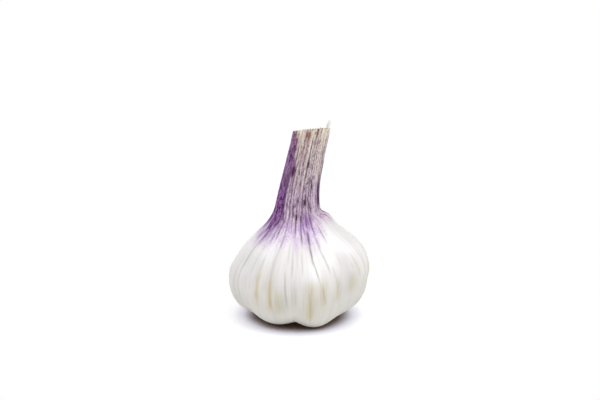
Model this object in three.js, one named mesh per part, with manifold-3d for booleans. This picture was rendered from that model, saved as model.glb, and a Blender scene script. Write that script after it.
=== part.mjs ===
// A garlic bulb as it is sold: one head of cloves grown together in its papery skin, which runs unbroken
// up into the dried neck, and under it the root plate with its roots trimmed level.
// Millimetres, +Z up, standing on z = 0 with the middle of its foot at the origin. +X is to the right of
// someone who faces the bulb, and the neck leans that way.
import * as THREE from "three";
import { mergeVertices } from "three/addons/utils/BufferGeometryUtils.js";
import Module from "manifold-3d";

const wasm = await Module();
wasm.setup();

// Driving dimensions.
const BULB_RADIUS = 30.2; // over the clove crests
const EQUATOR_HEIGHT = 18.8;
const FOOT_RADIUS = 15.5; // the ring of clove ends that the bulb stands on
const NECK_FOOT_RADIUS = 9.8; // where the shoulder turns up into the neck
const NECK_FOOT_HEIGHT = 48;
const NECK_RADIUS = 8; // half the width of the neck at its cut
const CUT_HEIGHT = 82; // the middle of the cut

// The handles of the shoulder's curve: how far up it leaves the widest line, and where it comes in to the
// neck. Above them the neck draws in to its slimmest over a short height.
const SHOULDER_HANDLE_HEIGHT = 34;
const COLLAR_HANDLE = { radius: 12.2, height: 38 };
const NECK_TAPER = 9;

// The neck.
const NECK_FLATNESS = 0.86; // depth over width, as the dried sheaths press flat
const FLAT_FROM = 38; // height at which the flattening starts
const FLAT_FULL = NECK_FOOT_HEIGHT + 4; // and the height at which it is complete
const LEAN_RIGHT = 0.218; // millimetres sideways for each millimetre up
const LEAN_BACK = 0.06;
const LEAN_START = 53.5; // height at which the neck begins to lean
const LEAN_SOFTNESS = 4;
const NECK_OFFSET = -0.9; // the neck rises a little left of the middle of the head
const OFFSET_FROM = 30;
const OFFSET_FULL = 45;
const CUT_RISE_RIGHT = 0.113; // slope of the cut, from its low left side to its high right side
const CUT_FALL_BACK = 0.25; // slope of the cut, down towards the back
const SHEATHS = 3; // sheath leaves that show as rings in the cut, round the stalk
const SHEATH_WALL = 1.15;
const SHEATH_GAP = 0.55;
const GAP_DEPTH = 2.6;
const SHEATH_STEP = 0.35; // each inner sheath is cut or shrunk a little lower

// The sliver of torn sheath that stands up on the right of the cut.
const SLIVER_HEIGHT = 3.4;
const SLIVER_WIDTH = 1.3;
const SLIVER_THICKNESS = 0.6;
const SLIVER_ROOT = 1.5; // how far it runs down into the sheath that it is part of
const SLIVER_TAPER = 0.15;
const SLIVER_TIP_FALL = 0.7; // its tip is torn aslant
const SLIVER_ANGLE = THREE.MathUtils.degToRad(-12); // where it stands on the rim, from the right
const SLIVER_LEAN = 0.35; // millimetres outwards for each millimetre up

// The head. Each clove has its direction in degrees from the right, counted towards the back, how far it
// swells past the common outline, and how far its end stays off the surface.
const CLOVES = [
  { direction: -68, swell: 0.2, lift: 0.0 },
  { direction: -11, swell: 0.5, lift: 0.9 },
  { direction: 40, swell: 0.0, lift: 0.2 },
  { direction: 90, swell: 0.2, lift: 0.0 },
  { direction: 140, swell: -0.1, lift: 0.3 },
  { direction: 186, swell: 0.3, lift: 1.2 },
  { direction: 237, swell: 0.1, lift: 0.9 },
];
const SWELL_FROM = 5; // height at which the cloves start to swell past the common outline
const CREST_ROUNDNESS = 0.6; // under 1 makes broad crests and narrow creases
const CREASE_AT_FOOT = 2.6; // depth of the creases between cloves, fading to nothing at the shoulder
const CREASE_FADE = 1.7;
const CREASE_TOP = 43;
const CREASE_LIFT = 1.9; // how far the creases rise off the surface at the foot
const LIFT_TOP = 11.3; // height at which that rise has faded out

// The head is lopsided: its widest line is higher on the right and lower on the left, and its right
// shoulder is fuller and rises further up the neck.
const TILT_UP_RIGHT = 2.8;
const TILT_DOWN_LEFT = 1.8;
const TILT_FADE = 1.5;
const RIGHT_SHOULDER = { out: 0.7, rise: 1.9, height: 42.3, spread: 3.3 };

// The root plate.
const PLATE_RADIUS = 9.6;
const PLATE_THICKNESS = 1.9;
const PLATE_LEVEL_RADIUS = 7.9; // the level part of its underside, inside a sloping edge
const PLATE_CHAMFER = 0.7; // height of that edge
const PLATE_CLEARANCE = 0.35; // left between the plate and the hollow that it grows in
const ROOT_COUNT = 22;
const ROOT_RING_RADIUS = 8.7; // the roots grow from a ring near the plate's edge
const ROOT_TILT = 0.5; // radians that they lean outwards
const ROOT_RADIUS = 0.75; // at the plate, a little less at the tip
const ROOT_TIP_RADIUS = 0.6;
const ROOT_LENGTH = 3; // before the roots are trimmed
const ROOT_SIDES = 6;
const ROOT_MIDDLE_HEIGHT = 0.85;

// The hollow in the foot of the head, in which the root plate sits.
const HOLLOW_RADIUS = PLATE_RADIUS + ROOT_RADIUS + PLATE_CLEARANCE;
const HOLLOW_HEIGHT = PLATE_THICKNESS + PLATE_CLEARANCE;

// Fineness of the turned surfaces.
const STEPS_AROUND = 80;
const PLATE_STEPS_AROUND = 40;
const TURN = 2 * Math.PI;

const smooth = THREE.MathUtils.smoothstep;

// The creases between cloves are half way between their directions.
const cloves = CLOVES.map((clove, i) => {
  const before = CLOVES.at(i - 1).direction - (i === 0 ? 360 : 0);
  const after = CLOVES[(i + 1) % CLOVES.length].direction + (i === CLOVES.length - 1 ? 360 : 0);
  return { ...clove, from: (before + clove.direction) / 2, to: (clove.direction + after) / 2 };
});

// The clove that faces an angle, and how full it is there: 1 on its crest and 0 in the crease beside it.
function cloveAt(angle) {
  let degrees = THREE.MathUtils.radToDeg(angle);
  while (degrees < cloves[0].from) degrees += 360;
  while (degrees >= cloves[0].from + 360) degrees -= 360;
  const clove = cloves.find((c) => degrees < c.to) ?? cloves.at(-1);
  const edge = degrees < clove.direction ? clove.from : clove.to;
  const share = (degrees - clove.direction) / (edge - clove.direction);
  return { clove, fullness: (0.5 + 0.5 * Math.cos(Math.PI * share)) ** CREST_ROUNDNESS };
}

// How far the neck's middle is from the bulb's axis at a height.
function neckMiddle(height) {
  const risen = LEAN_SOFTNESS * Math.log1p(Math.exp((height - LEAN_START) / LEAN_SOFTNESS));
  return new THREE.Vector2(
    NECK_OFFSET * smooth(height, OFFSET_FROM, OFFSET_FULL) + LEAN_RIGHT * risen,
    LEAN_BACK * risen,
  );
}

// Moves a point of the plain turned shape to its place on the grown one.
function grow(point) {
  const angle = Math.atan2(point.y, point.x);
  const sideways = Math.cos(angle);
  const { clove, fullness } = cloveAt(angle);
  let radius = Math.hypot(point.x, point.y);
  const outside = point.z > HOLLOW_HEIGHT ? 1 : smooth(radius, HOLLOW_RADIUS, FOOT_RADIUS);
  const creased = (1 - smooth(point.z, 0, CREASE_TOP)) ** CREASE_FADE;
  const risingSide = smooth(point.z, SWELL_FROM, EQUATOR_HEIGHT);
  const swollen = risingSide * (1 - smooth(point.z, EQUATOR_HEIGHT, CREASE_TOP));
  const atFoot = 1 - smooth(point.z, 0, LIFT_TOP);
  const risen = THREE.MathUtils.clamp(point.z / NECK_FOOT_HEIGHT, 0, 1);
  const tilted = (4 * risen * (1 - risen)) ** TILT_FADE;
  const fromShoulder = (point.z - RIGHT_SHOULDER.height) / RIGHT_SHOULDER.spread;
  const atShoulder = Math.max(0, sideways) ** 2 * Math.exp(-(fromShoulder ** 2));

  radius += outside * (clove.swell * fullness * swollen - CREASE_AT_FOOT * creased * (1 - fullness));
  radius += RIGHT_SHOULDER.out * atShoulder;
  let height = point.z;
  height += outside * atFoot * (CREASE_LIFT * (1 - fullness) + clove.lift * fullness);
  height += outside * tilted * sideways * (sideways > 0 ? TILT_UP_RIGHT : TILT_DOWN_LEFT);
  height += RIGHT_SHOULDER.rise * atShoulder;

  const middle = neckMiddle(point.z);
  const flatness = 1 - (1 - NECK_FLATNESS) * smooth(point.z, FLAT_FROM, FLAT_FULL);
  const x = radius * Math.cos(angle);
  const y = radius * Math.sin(angle) * flatness;
  height += smooth(point.z, NECK_FOOT_HEIGHT, CUT_HEIGHT) * (CUT_RISE_RIGHT * x - CUT_FALL_BACK * y);
  return new THREE.Vector3(x + middle.x, y + middle.y, height);
}

// Turns a profile of radius and height round the axis, and grows it.
function grownLathe(profile) {
  const geometry = new THREE.LatheGeometry(profile, STEPS_AROUND).rotateX(Math.PI / 2);
  const position = geometry.getAttribute("position");
  const point = new THREE.Vector3();
  for (let i = 0; i < position.count; i++) {
    point.fromBufferAttribute(position, i);
    position.setXYZ(i, ...grow(point));
  }
  return geometry;
}

const at = (radius, height) => new THREE.Vector2(radius, height);

// Half of the head's section: the hollow over the root plate, the foot ring, the side, the shoulder and
// the neck, then the rings of sheath in the cut, to the stalk on the axis.
function bulbProfile() {
  const hollowRoof = new THREE.LineCurve(at(0, HOLLOW_HEIGHT), at(HOLLOW_RADIUS, HOLLOW_HEIGHT));
  const hollowLip = new THREE.QuadraticBezierCurve(
    at(HOLLOW_RADIUS, HOLLOW_HEIGHT),
    at((HOLLOW_RADIUS + FOOT_RADIUS) / 2, 0),
    at(FOOT_RADIUS, 0),
  );
  const side = new THREE.EllipseCurve(
    FOOT_RADIUS, EQUATOR_HEIGHT, BULB_RADIUS - FOOT_RADIUS, EQUATOR_HEIGHT, -Math.PI / 2, 0, false, 0,
  );
  const shoulder = new THREE.CubicBezierCurve(
    at(BULB_RADIUS, EQUATOR_HEIGHT),
    at(BULB_RADIUS, SHOULDER_HANDLE_HEIGHT),
    at(COLLAR_HANDLE.radius, COLLAR_HANDLE.height),
    at(NECK_FOOT_RADIUS, NECK_FOOT_HEIGHT),
  );
  const neck = new THREE.QuadraticBezierCurve(
    at(NECK_FOOT_RADIUS, NECK_FOOT_HEIGHT),
    at(NECK_RADIUS, NECK_FOOT_HEIGHT + NECK_TAPER),
    at(NECK_RADIUS, CUT_HEIGHT),
  );
  const points = [at(0, HOLLOW_HEIGHT)];
  for (const [curve, steps] of [[hollowRoof, 3], [hollowLip, 4], [side, 13], [shoulder, 18], [neck, 9]]) {
    points.push(...curve.getPoints(steps).slice(1));
  }
  let radius = NECK_RADIUS;
  for (let i = 0; i < SHEATHS; i++) {
    const top = CUT_HEIGHT - i * SHEATH_STEP;
    radius -= SHEATH_WALL;
    points.push(at(radius, top), at(radius, top - GAP_DEPTH));
    radius -= SHEATH_GAP;
    points.push(at(radius, top - GAP_DEPTH), at(radius, top - SHEATH_STEP));
  }
  points.push(at(0, CUT_HEIGHT - SHEATHS * SHEATH_STEP));
  return points;
}

// The torn sliver: a narrow blade that tapers to its tip.
function sliver() {
  const half = SLIVER_WIDTH / 2;
  const blade = new THREE.Shape([
    at(-half, -SLIVER_ROOT),
    at(half, -SLIVER_ROOT),
    at(half - SLIVER_TAPER, SLIVER_HEIGHT / 2),
    at(SLIVER_TAPER, SLIVER_HEIGHT),
    at(-SLIVER_TAPER, SLIVER_HEIGHT - SLIVER_TIP_FALL),
  ]);
  const geometry = new THREE.ExtrudeGeometry(blade, { depth: SLIVER_THICKNESS, bevelEnabled: false });
  geometry.translate(0, 0, -SLIVER_THICKNESS / 2);
  // The blade's face looks outwards, and it leans out with the neck.
  geometry.rotateX(Math.PI / 2).rotateZ(Math.PI / 2);
  const shear = new THREE.Matrix4().set(1, 0, SLIVER_LEAN, 0, 0, 1, 0, 0, 0, 0, 1, 0, 0, 0, 0, 1);
  geometry.applyMatrix4(shear).rotateZ(SLIVER_ANGLE);
  const foot = new THREE.Vector3(NECK_RADIUS - SHEATH_WALL / 2, 0, CUT_HEIGHT);
  foot.applyAxisAngle(new THREE.Vector3(0, 0, 1), SLIVER_ANGLE);
  return geometry.translate(...grow(foot));
}

// The root plate: a corky disc with a level underside.
function plateDisc() {
  const profile = [
    at(0, 0),
    at(PLATE_LEVEL_RADIUS, 0),
    at(PLATE_RADIUS, PLATE_CHAMFER),
    at(PLATE_RADIUS, PLATE_THICKNESS),
    at(0, PLATE_THICKNESS),
  ];
  return new THREE.LatheGeometry(profile, PLATE_STEPS_AROUND).rotateX(Math.PI / 2);
}

// One root stub, leaning out from the plate, before it is trimmed level.
function rootStub(angle) {
  const stub = new THREE.CylinderGeometry(ROOT_TIP_RADIUS, ROOT_RADIUS, ROOT_LENGTH, ROOT_SIDES);
  stub.rotateX(-Math.PI / 2).rotateY(-ROOT_TILT);
  return stub.translate(ROOT_RING_RADIUS, 0, ROOT_MIDDLE_HEIGHT).rotateZ(angle);
}

function solidFrom(geometry) {
  const bare = geometry.clone();
  bare.deleteAttribute("normal");
  bare.deleteAttribute("uv");
  const merged = mergeVertices(bare, 1e-4);
  const vertProperties = merged.getAttribute("position").array;
  return new wasm.Manifold(
    new wasm.Mesh({ numProp: 3, vertProperties, triVerts: new Uint32Array(merged.index.array) }),
  );
}

function geometryFrom(solid) {
  const mesh = solid.getMesh();
  return new THREE.BufferGeometry()
    .setAttribute("position", new THREE.BufferAttribute(mesh.vertProperties, 3))
    .setIndex(new THREE.BufferAttribute(mesh.triVerts, 1));
}

// The plate with its roots, trimmed to what lies between the surface and the plate's top.
function rootPlate() {
  let solid = solidFrom(plateDisc());
  for (let i = 0; i < ROOT_COUNT; i++) {
    solid = solid.add(solidFrom(rootStub((i * TURN) / ROOT_COUNT)));
  }
  const room = new THREE.BoxGeometry(4 * PLATE_RADIUS, 4 * PLATE_RADIUS, PLATE_THICKNESS);
  room.translate(0, 0, PLATE_THICKNESS / 2);
  return geometryFrom(solid.intersect(solidFrom(room)));
}

function named(name, geometry, material) {
  const mesh = new THREE.Mesh(geometry, material);
  mesh.name = name;
  return mesh;
}

const skin = new THREE.MeshStandardMaterial({ color: 0xe9e5e0, roughness: 0.45, metalness: 0 });
const cork = new THREE.MeshStandardMaterial({ color: 0xb79f7c, roughness: 0.9, metalness: 0 });

const bulb = solidFrom(grownLathe(bulbProfile())).add(solidFrom(sliver()));

const garlic = new THREE.Group();
garlic.add(named("bulb", geometryFrom(bulb), skin));
garlic.add(named("root_plate", rootPlate(), cork));

// The middle of the bulb's own box is not quite on the axis of its section, so the whole stands over the
// middle of that box.
const box = new THREE.Box3().setFromObject(garlic, true);
const middle = box.getCenter(new THREE.Vector3());
garlic.position.set(-middle.x, -middle.y, -box.min.z);

export default garlic;
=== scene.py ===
"""A whole garlic bulb: cloves in white papery skin, a purple neck cut across, and a trimmed root plate.

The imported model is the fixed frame. The pieces made here stand for its two solids. They follow the same grown
form to about a millimetre, and add the veins, pleats, layers and cut edges that the solids leave out.
"""

import logging
import math
from dataclasses import dataclass
from enum import Enum

import bpy
import numpy as np
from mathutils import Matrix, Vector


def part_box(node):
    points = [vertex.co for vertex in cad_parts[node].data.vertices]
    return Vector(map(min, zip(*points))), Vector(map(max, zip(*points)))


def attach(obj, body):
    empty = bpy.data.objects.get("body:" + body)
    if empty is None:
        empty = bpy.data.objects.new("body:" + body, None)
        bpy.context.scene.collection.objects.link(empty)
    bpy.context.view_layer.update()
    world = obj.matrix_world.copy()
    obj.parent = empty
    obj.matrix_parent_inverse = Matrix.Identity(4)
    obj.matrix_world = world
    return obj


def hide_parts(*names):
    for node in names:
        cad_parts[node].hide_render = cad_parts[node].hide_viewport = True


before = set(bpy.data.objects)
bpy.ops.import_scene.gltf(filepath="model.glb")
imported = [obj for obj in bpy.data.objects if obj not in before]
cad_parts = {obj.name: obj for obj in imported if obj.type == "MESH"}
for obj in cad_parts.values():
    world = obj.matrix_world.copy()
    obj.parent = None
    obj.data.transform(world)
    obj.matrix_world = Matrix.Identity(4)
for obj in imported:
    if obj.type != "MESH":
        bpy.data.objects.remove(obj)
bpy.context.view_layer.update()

MM = 0.001  # the sizes below are millimetres, and the scene is in metres
TURN = 2 * math.pi
SEED = 20
MERGE_DISTANCE = 1e-6  # metres
LEVEL = 0.99  # a face is level when its direction is upright by at least this share
RIPPLE_COUNT = 18  # waves that are summed
RIPPLE_LONGEST = 0.15  # the pitch of the longest wave, as a share of the shortest one's
LONGEST_FADE = 3.0  # millimetres over which the end of a mark fades
PLAIN_WHITE = (1.0, 1.0, 1.0, 1.0)

log = logging.getLogger("garlic")
Array = np.ndarray
Colour = tuple[float, float, float, float]
Point = tuple[float, float, float]
Wave = tuple[int, float]  # the most waves round the form, and the shortest wave along it in millimetres
Socket = bpy.types.NodeSocket
Paint = Socket | Colour
Amount = Socket | float


def smooth(value: Array, start: float, end: float) -> Array:
    """A soft step from 0 at start to 1 at end."""
    share = np.clip((value - start) / (end - start), 0.0, 1.0)
    return share * share * (3 - 2 * share)


def hump(value: Array, middle: float, spread: float) -> Array:
    """A soft hump, 1 at its middle."""
    return np.exp(-(((value - middle) / spread) ** 2))


def turned_from(angle: Array, direction: float) -> Array:
    """How far an angle is from a direction, in degrees from -180 to 180."""
    return (angle - direction + 180) % 360 - 180


def linear(hex_colour: str) -> Colour:
    """A written sRGB colour such as "E9E5E0" as the linear one that a shader takes.

    Args:
        hex_colour: six hex digits, two each for red, green and blue.

    Returns:
        The linear red, green and blue, and 1 for its cover.
    """
    channels = [int(hex_colour[i : i + 2], 16) / 255 for i in (0, 2, 4)]
    red, green, blue = (c / 12.92 if c <= 0.04045 else ((c + 0.055) / 1.055) ** 2.4 for c in channels)
    return red, green, blue, 1.0


# ---------------------------------------------------------------------------------------------------------
# The grown form


@dataclass(frozen=True)
class Clove:
    """One clove: its direction in degrees from the right towards the back, its swell and its foot's lift."""

    direction: float
    swell: float
    lift: float


CLOVES = (
    Clove(-68, 0.2, 0.0),
    Clove(-11, 0.4, 2.1),
    Clove(40, 0.0, 0.2),
    Clove(90, 0.2, 0.0),
    Clove(140, -0.1, 0.3),
    Clove(186, 0.3, 1.2),
    Clove(237, 0.1, 0.9),
)


@dataclass(frozen=True)
class GrownForm:
    """The shape of the head and neck, in millimetres from the middle of the root plate at the surface.

    A point of the plain turned shape has an angle, a radius and a height; grow() moves it to its place.
    """

    bulb_radius: float = 30.2
    equator: float = 18.8
    foot_radius: float = 15.5
    hollow_radius: float = 10.7
    hollow_height: float = 2.25
    neck_foot_radius: float = 9.8
    neck_foot: float = 48.0
    neck_radius: float = 8.0
    cut: float = 82.1
    neck_taper: float = 9.0
    shoulder_handle: float = 34.0
    collar_handle: tuple[float, float] = (12.2, 38.0)
    stretch_points: int = 200  # along each stretch of the section
    neck_flatness: float = 0.86
    flat_from: float = 38.0
    flat_full: float = 52.0
    lean_right: float = 0.218
    lean_back: float = 0.06
    lean_start: float = 53.5
    lean_softness: float = 4.0
    neck_offset: float = -0.9
    offset_from: float = 30.0
    offset_full: float = 45.0
    cut_rise_right: float = 0.095
    cut_fall_back: float = 0.31
    swell_from: float = 5.0
    crest_roundness: float = 0.6
    crease_at_foot: float = 2.6
    crease_fade: float = 1.7
    crease_top: float = 43.0
    crease_lift: float = 1.9
    shallow_crease: float = -39.0  # direction of the crease that the skin spans, so that it is shallower
    shallow_share: float = 0.28
    shallow_spread: float = 13.0
    lift_top: float = 11.3
    tilt_up_right: float = 2.8
    tilt_down_left: float = 1.8
    tilt_fade: float = 1.5
    right_shoulder_out: float = 0.7
    right_shoulder_rise: float = 1.9
    right_shoulder_height: float = 42.3
    right_shoulder_spread: float = 3.3
    left_shoulder_in: float = 0.8
    left_shoulder_height: float = 28.6
    left_shoulder_spread: float = 3.8
    right_belly_in: float = 0.5
    right_belly_height: float = 15.0
    right_belly_spread: float = 4.0

    def outline(self) -> tuple[Array, Array]:
        """Half of the head's section, from the middle of the hollow over the foot and side to the cut.

        Returns:
            The radius and the height of closely spaced points.
        """
        share = np.linspace(0, 1, self.stretch_points)
        rest = 1 - share
        quarter = -math.pi / 2 + share * math.pi / 2
        lip = (self.hollow_radius + self.foot_radius) / 2
        reach = self.bulb_radius - self.foot_radius
        handle_radius, handle_height = self.collar_handle
        roof = (self.hollow_radius * share, np.full_like(share, self.hollow_height))
        foot = (
            rest**2 * self.hollow_radius + 2 * rest * share * lip + share**2 * self.foot_radius,
            rest**2 * self.hollow_height,
        )
        side = (self.foot_radius + reach * np.cos(quarter), self.equator * (1 + np.sin(quarter)))
        shoulder = (
            (rest**3 + 3 * rest**2 * share) * self.bulb_radius
            + 3 * rest * share**2 * handle_radius
            + share**3 * self.neck_foot_radius,
            rest**3 * self.equator
            + 3 * rest**2 * share * self.shoulder_handle
            + 3 * rest * share**2 * handle_height
            + share**3 * self.neck_foot,
        )
        neck = (
            rest**2 * self.neck_foot_radius + (2 * rest * share + share**2) * self.neck_radius,
            rest**2 * self.neck_foot
            + 2 * rest * share * (self.neck_foot + self.neck_taper)
            + share**2 * self.cut,
        )
        stretches = (roof, foot, side, shoulder, neck)
        return tuple(np.concatenate([stretch[axis][1:] for stretch in stretches]) for axis in (0, 1))

    def nearest_clove(self, angle: Array) -> tuple[Array, Array, Array]:
        """The clove that each angle faces.

        Args:
            angle: degrees from the right, counted towards the back.

        Returns:
            How full the clove is there (1 on its crest, 0 in the crease beside it), its swell and its lift.
        """
        fullness, swell, lift = (np.zeros_like(angle) for _ in range(3))
        for i, clove in enumerate(CLOVES):
            before = turned_from(CLOVES[i - 1].direction, clove.direction) / 2
            after = turned_from(CLOVES[(i + 1) % len(CLOVES)].direction, clove.direction) / 2
            away = turned_from(angle, clove.direction)
            here = (away >= before) & (away < after)
            share = np.where(away < 0, away / before, away / after)
            full = (0.5 + 0.5 * np.cos(np.pi * np.clip(share, 0, 1))) ** self.crest_roundness
            fullness = np.where(here, full, fullness)
            swell = np.where(here, clove.swell, swell)
            lift = np.where(here, clove.lift, lift)
        return fullness, swell, lift

    def grow(self, angle: Array, radius: Array, height: Array) -> Array:
        """Moves points of the plain turned shape to their places on the grown one.

        Args:
            angle: radians from the right, counted towards the back.
            radius: distance from the axis.
            height: height above the surface.

        Returns:
            One row of x, y and z for each point, in millimetres.
        """
        sideways = np.cos(angle)
        to_right, to_left = np.maximum(0, sideways) ** 2, np.maximum(0, -sideways) ** 2
        fullness, swell, lift = self.nearest_clove(np.degrees(angle))
        spanned = hump(turned_from(np.degrees(angle), self.shallow_crease), 0, self.shallow_spread)
        crease = (1 - fullness) * (1 - self.shallow_share * spanned)
        past_hollow = smooth(radius, self.hollow_radius, self.foot_radius)
        outside = np.where(height > self.hollow_height, 1, past_hollow)
        creased = (1 - smooth(height, 0, self.crease_top)) ** self.crease_fade
        swollen = smooth(height, self.swell_from, self.equator)
        swollen = swollen * (1 - smooth(height, self.equator, self.crease_top))
        at_foot = 1 - smooth(height, 0, self.lift_top)
        risen = np.clip(height / self.neck_foot, 0, 1)
        tilted = (4 * risen * (1 - risen)) ** self.tilt_fade
        tilt = sideways * np.where(sideways > 0, self.tilt_up_right, self.tilt_down_left)
        right_shoulder = to_right * hump(height, self.right_shoulder_height, self.right_shoulder_spread)
        left_shoulder = to_left * hump(height, self.left_shoulder_height, self.left_shoulder_spread)
        right_belly = to_right * hump(height, self.right_belly_height, self.right_belly_spread)

        grown = radius + outside * (swell * fullness * swollen - self.crease_at_foot * creased * crease)
        grown = grown + self.right_shoulder_out * right_shoulder
        grown = grown - self.left_shoulder_in * left_shoulder - self.right_belly_in * right_belly
        up = height + outside * at_foot * (self.crease_lift * crease + lift * fullness)
        up = up + outside * tilted * tilt + self.right_shoulder_rise * right_shoulder

        leaned = self.lean_softness * np.log1p(np.exp((height - self.lean_start) / self.lean_softness))
        offset = self.neck_offset * smooth(height, self.offset_from, self.offset_full)
        flatness = 1 - (1 - self.neck_flatness) * smooth(height, self.flat_from, self.flat_full)
        x = grown * np.cos(angle)
        y = grown * np.sin(angle) * flatness
        cut_slope = self.cut_rise_right * x - self.cut_fall_back * y
        up = up + smooth(height, self.neck_foot, self.cut) * cut_slope
        return np.stack([x + offset + self.lean_right * leaned, y + self.lean_back * leaned, up], axis=1)


FORM = GrownForm()


def plate_middle() -> Array:
    """The point on the surface under the middle of the root plate, in metres."""
    low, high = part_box("root_plate")
    return np.array([(low.x + high.x) / 2, (low.y + high.y) / 2, 0.0])


# ---------------------------------------------------------------------------------------------------------
# Working on meshes


def start_piece() -> None:
    """Deselects everything, so that the next operators act on the new piece alone."""
    bpy.ops.object.select_all(action="DESELECT")


def name_piece(name: str) -> bpy.types.Object:
    """Names the object that was just added, and its mesh.

    Args:
        name: the name that both take.

    Returns:
        The object.
    """
    piece = bpy.context.object
    piece.name = name
    piece.data.name = name
    return piece


def add_sheet(name: str, columns: int, rows: int) -> tuple[bpy.types.Object, Array, Array]:
    """Adds a flat grid that is to be rolled round the form.

    Args:
        name: the piece's name.
        columns: faces round the form.
        rows: faces along it.

    Returns:
        The object, and for each vertex its share of the way round and its share of the way up.
    """
    start_piece()
    bpy.ops.mesh.primitive_grid_add(x_subdivisions=columns, y_subdivisions=rows, size=1)
    sheet = name_piece(name)
    flat = read_places(sheet)
    return sheet, flat[:, 0] + 0.5, flat[:, 1] + 0.5


def add_disc(
    name: str, sides: int, radius: float, bottom: float, top: float, middle: Array
) -> bpy.types.Object:
    """Adds an upright cylinder with its place in its mesh.

    Args:
        name: the piece's name.
        sides: its faces round the side.
        radius: its radius in millimetres.
        bottom: height of its underside in millimetres.
        top: height of its upper side in millimetres.
        middle: the point on the surface that it stands over, in metres.

    Returns:
        The object.
    """
    start_piece()
    bpy.ops.mesh.primitive_cylinder_add(
        vertices=sides,
        radius=radius * MM,
        depth=(top - bottom) * MM,
        location=(middle[0], middle[1], (bottom + top) / 2 * MM),
        end_fill_type="NGON",
    )
    disc = name_piece(name)
    bpy.ops.object.transform_apply(location=True, rotation=False, scale=False)
    return disc


def select_faces(piece: bpy.types.Object, upwards: bool) -> None:
    """Goes into edit mode with only the faces selected that look straight up, or straight down.

    Args:
        piece: the piece.
        upwards: True for the faces that look up.
    """
    bpy.ops.object.mode_set(mode="EDIT")
    bpy.ops.mesh.select_all(action="DESELECT")
    bpy.ops.object.mode_set(mode="OBJECT")
    for face in piece.data.polygons:
        face.select = (face.normal.z if upwards else -face.normal.z) > LEVEL
    bpy.ops.object.mode_set(mode="EDIT")


def bevel_all(width: float, segments: int) -> None:
    """Rounds every edge of the active piece, by a width in millimetres.

    Args:
        width: how wide the rounding is, in millimetres.
        segments: faces across it.
    """
    bpy.ops.object.mode_set(mode="EDIT")
    bpy.ops.mesh.select_all(action="SELECT")
    bpy.ops.mesh.bevel(offset=width * MM, segments=segments, affect="EDGES")
    bpy.ops.object.mode_set(mode="OBJECT")


def read_places(piece: bpy.types.Object) -> Array:
    """The places of a piece's vertices, one row each.

    Args:
        piece: the piece.

    Returns:
        A row of x, y and z in metres for each vertex.
    """
    places = np.empty(len(piece.data.vertices) * 3)
    piece.data.vertices.foreach_get("co", places)
    return places.reshape(-1, 3)


def read_normals(piece: bpy.types.Object) -> Array:
    """The outward directions at a piece's vertices, one row each.

    Args:
        piece: the piece.

    Returns:
        A row of x, y and z for each vertex.
    """
    normals = np.empty(len(piece.data.vertices) * 3)
    piece.data.vertices.foreach_get("normal", normals)
    return normals.reshape(-1, 3)


def move_to(piece: bpy.types.Object, places: Array) -> None:
    """Moves a piece's vertices to new places in metres."""
    piece.data.vertices.foreach_set("co", np.ascontiguousarray(places, dtype=np.float32).ravel())
    piece.data.update()


def write_number(piece: bpy.types.Object, name: str, values: Array) -> None:
    """Stores one number at each vertex, for the finish to read."""
    attribute = piece.data.attributes.new(name, "FLOAT", "POINT")
    attribute.data.foreach_set("value", np.ascontiguousarray(values, dtype=np.float32))


def read_number(piece: bpy.types.Object, name: str) -> Array:
    """The number stored at each vertex under a name.

    Args:
        piece: the piece.
        name: what the number was stored as.

    Returns:
        One number for each vertex.
    """
    values = np.empty(len(piece.data.vertices), dtype=np.float32)
    piece.data.attributes[name].data.foreach_get("value", values)
    return values.astype(float)


def write_rolled(piece: bpy.types.Object, facing: Array, station: Array) -> None:
    """Stores where each vertex is on the skin as if the whole bulb were as slim as its neck, in millimetres.

    A pattern in these places runs along the fibres, has no seam, and widens over the head as the skin did
    when it grew.

    Args:
        piece: the piece.
        facing: degrees from the front of each vertex.
        station: its height on the plain shape.
    """
    turn = np.radians(facing)
    rolled = np.stack([FORM.neck_radius * np.sin(turn), -FORM.neck_radius * np.cos(turn), station], axis=1)
    attribute = piece.data.attributes.new("rolled", "FLOAT_VECTOR", "POINT")
    attribute.data.foreach_set("vector", np.ascontiguousarray(rolled, dtype=np.float32).ravel())


def close_up(piece: bpy.types.Object) -> None:
    """Joins the seam and the poles of a rolled piece and turns its faces outwards.

    Args:
        piece: the rolled sheet.
    """
    start_piece()
    piece.select_set(True)
    bpy.context.view_layer.objects.active = piece
    bpy.ops.object.mode_set(mode="EDIT")
    bpy.ops.mesh.select_all(action="SELECT")
    bpy.ops.mesh.remove_doubles(threshold=MERGE_DISTANCE)
    bpy.ops.mesh.normals_make_consistent(inside=False)
    bpy.ops.object.mode_set(mode="OBJECT")
    bpy.ops.object.shade_smooth()


def ripples(rng: np.random.Generator, facing: Array, station: Array, wave: Wave) -> Array:
    """Seamless irregular waves on the skin, from about -1 to 1.

    Args:
        rng: the seeded source of the waves' numbers.
        facing: degrees round the form.
        station: height on the plain shape.
        wave: the most waves round the form, and the shortest wave along it.

    Returns:
        The height of the waves at each place.
    """
    around, shortest = wave
    total = np.zeros_like(facing)
    for _ in range(RIPPLE_COUNT):
        turns = rng.integers(around // 4, around + 1)
        pitch = rng.uniform(RIPPLE_LONGEST, 1.0) * TURN / shortest
        along = rng.choice([-1, 1]) * pitch * station
        total += np.sin(turns * np.radians(facing) + along + rng.uniform(0, TURN))
    return total / math.sqrt(RIPPLE_COUNT)


# ---------------------------------------------------------------------------------------------------------
# The markings of the skin


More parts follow.
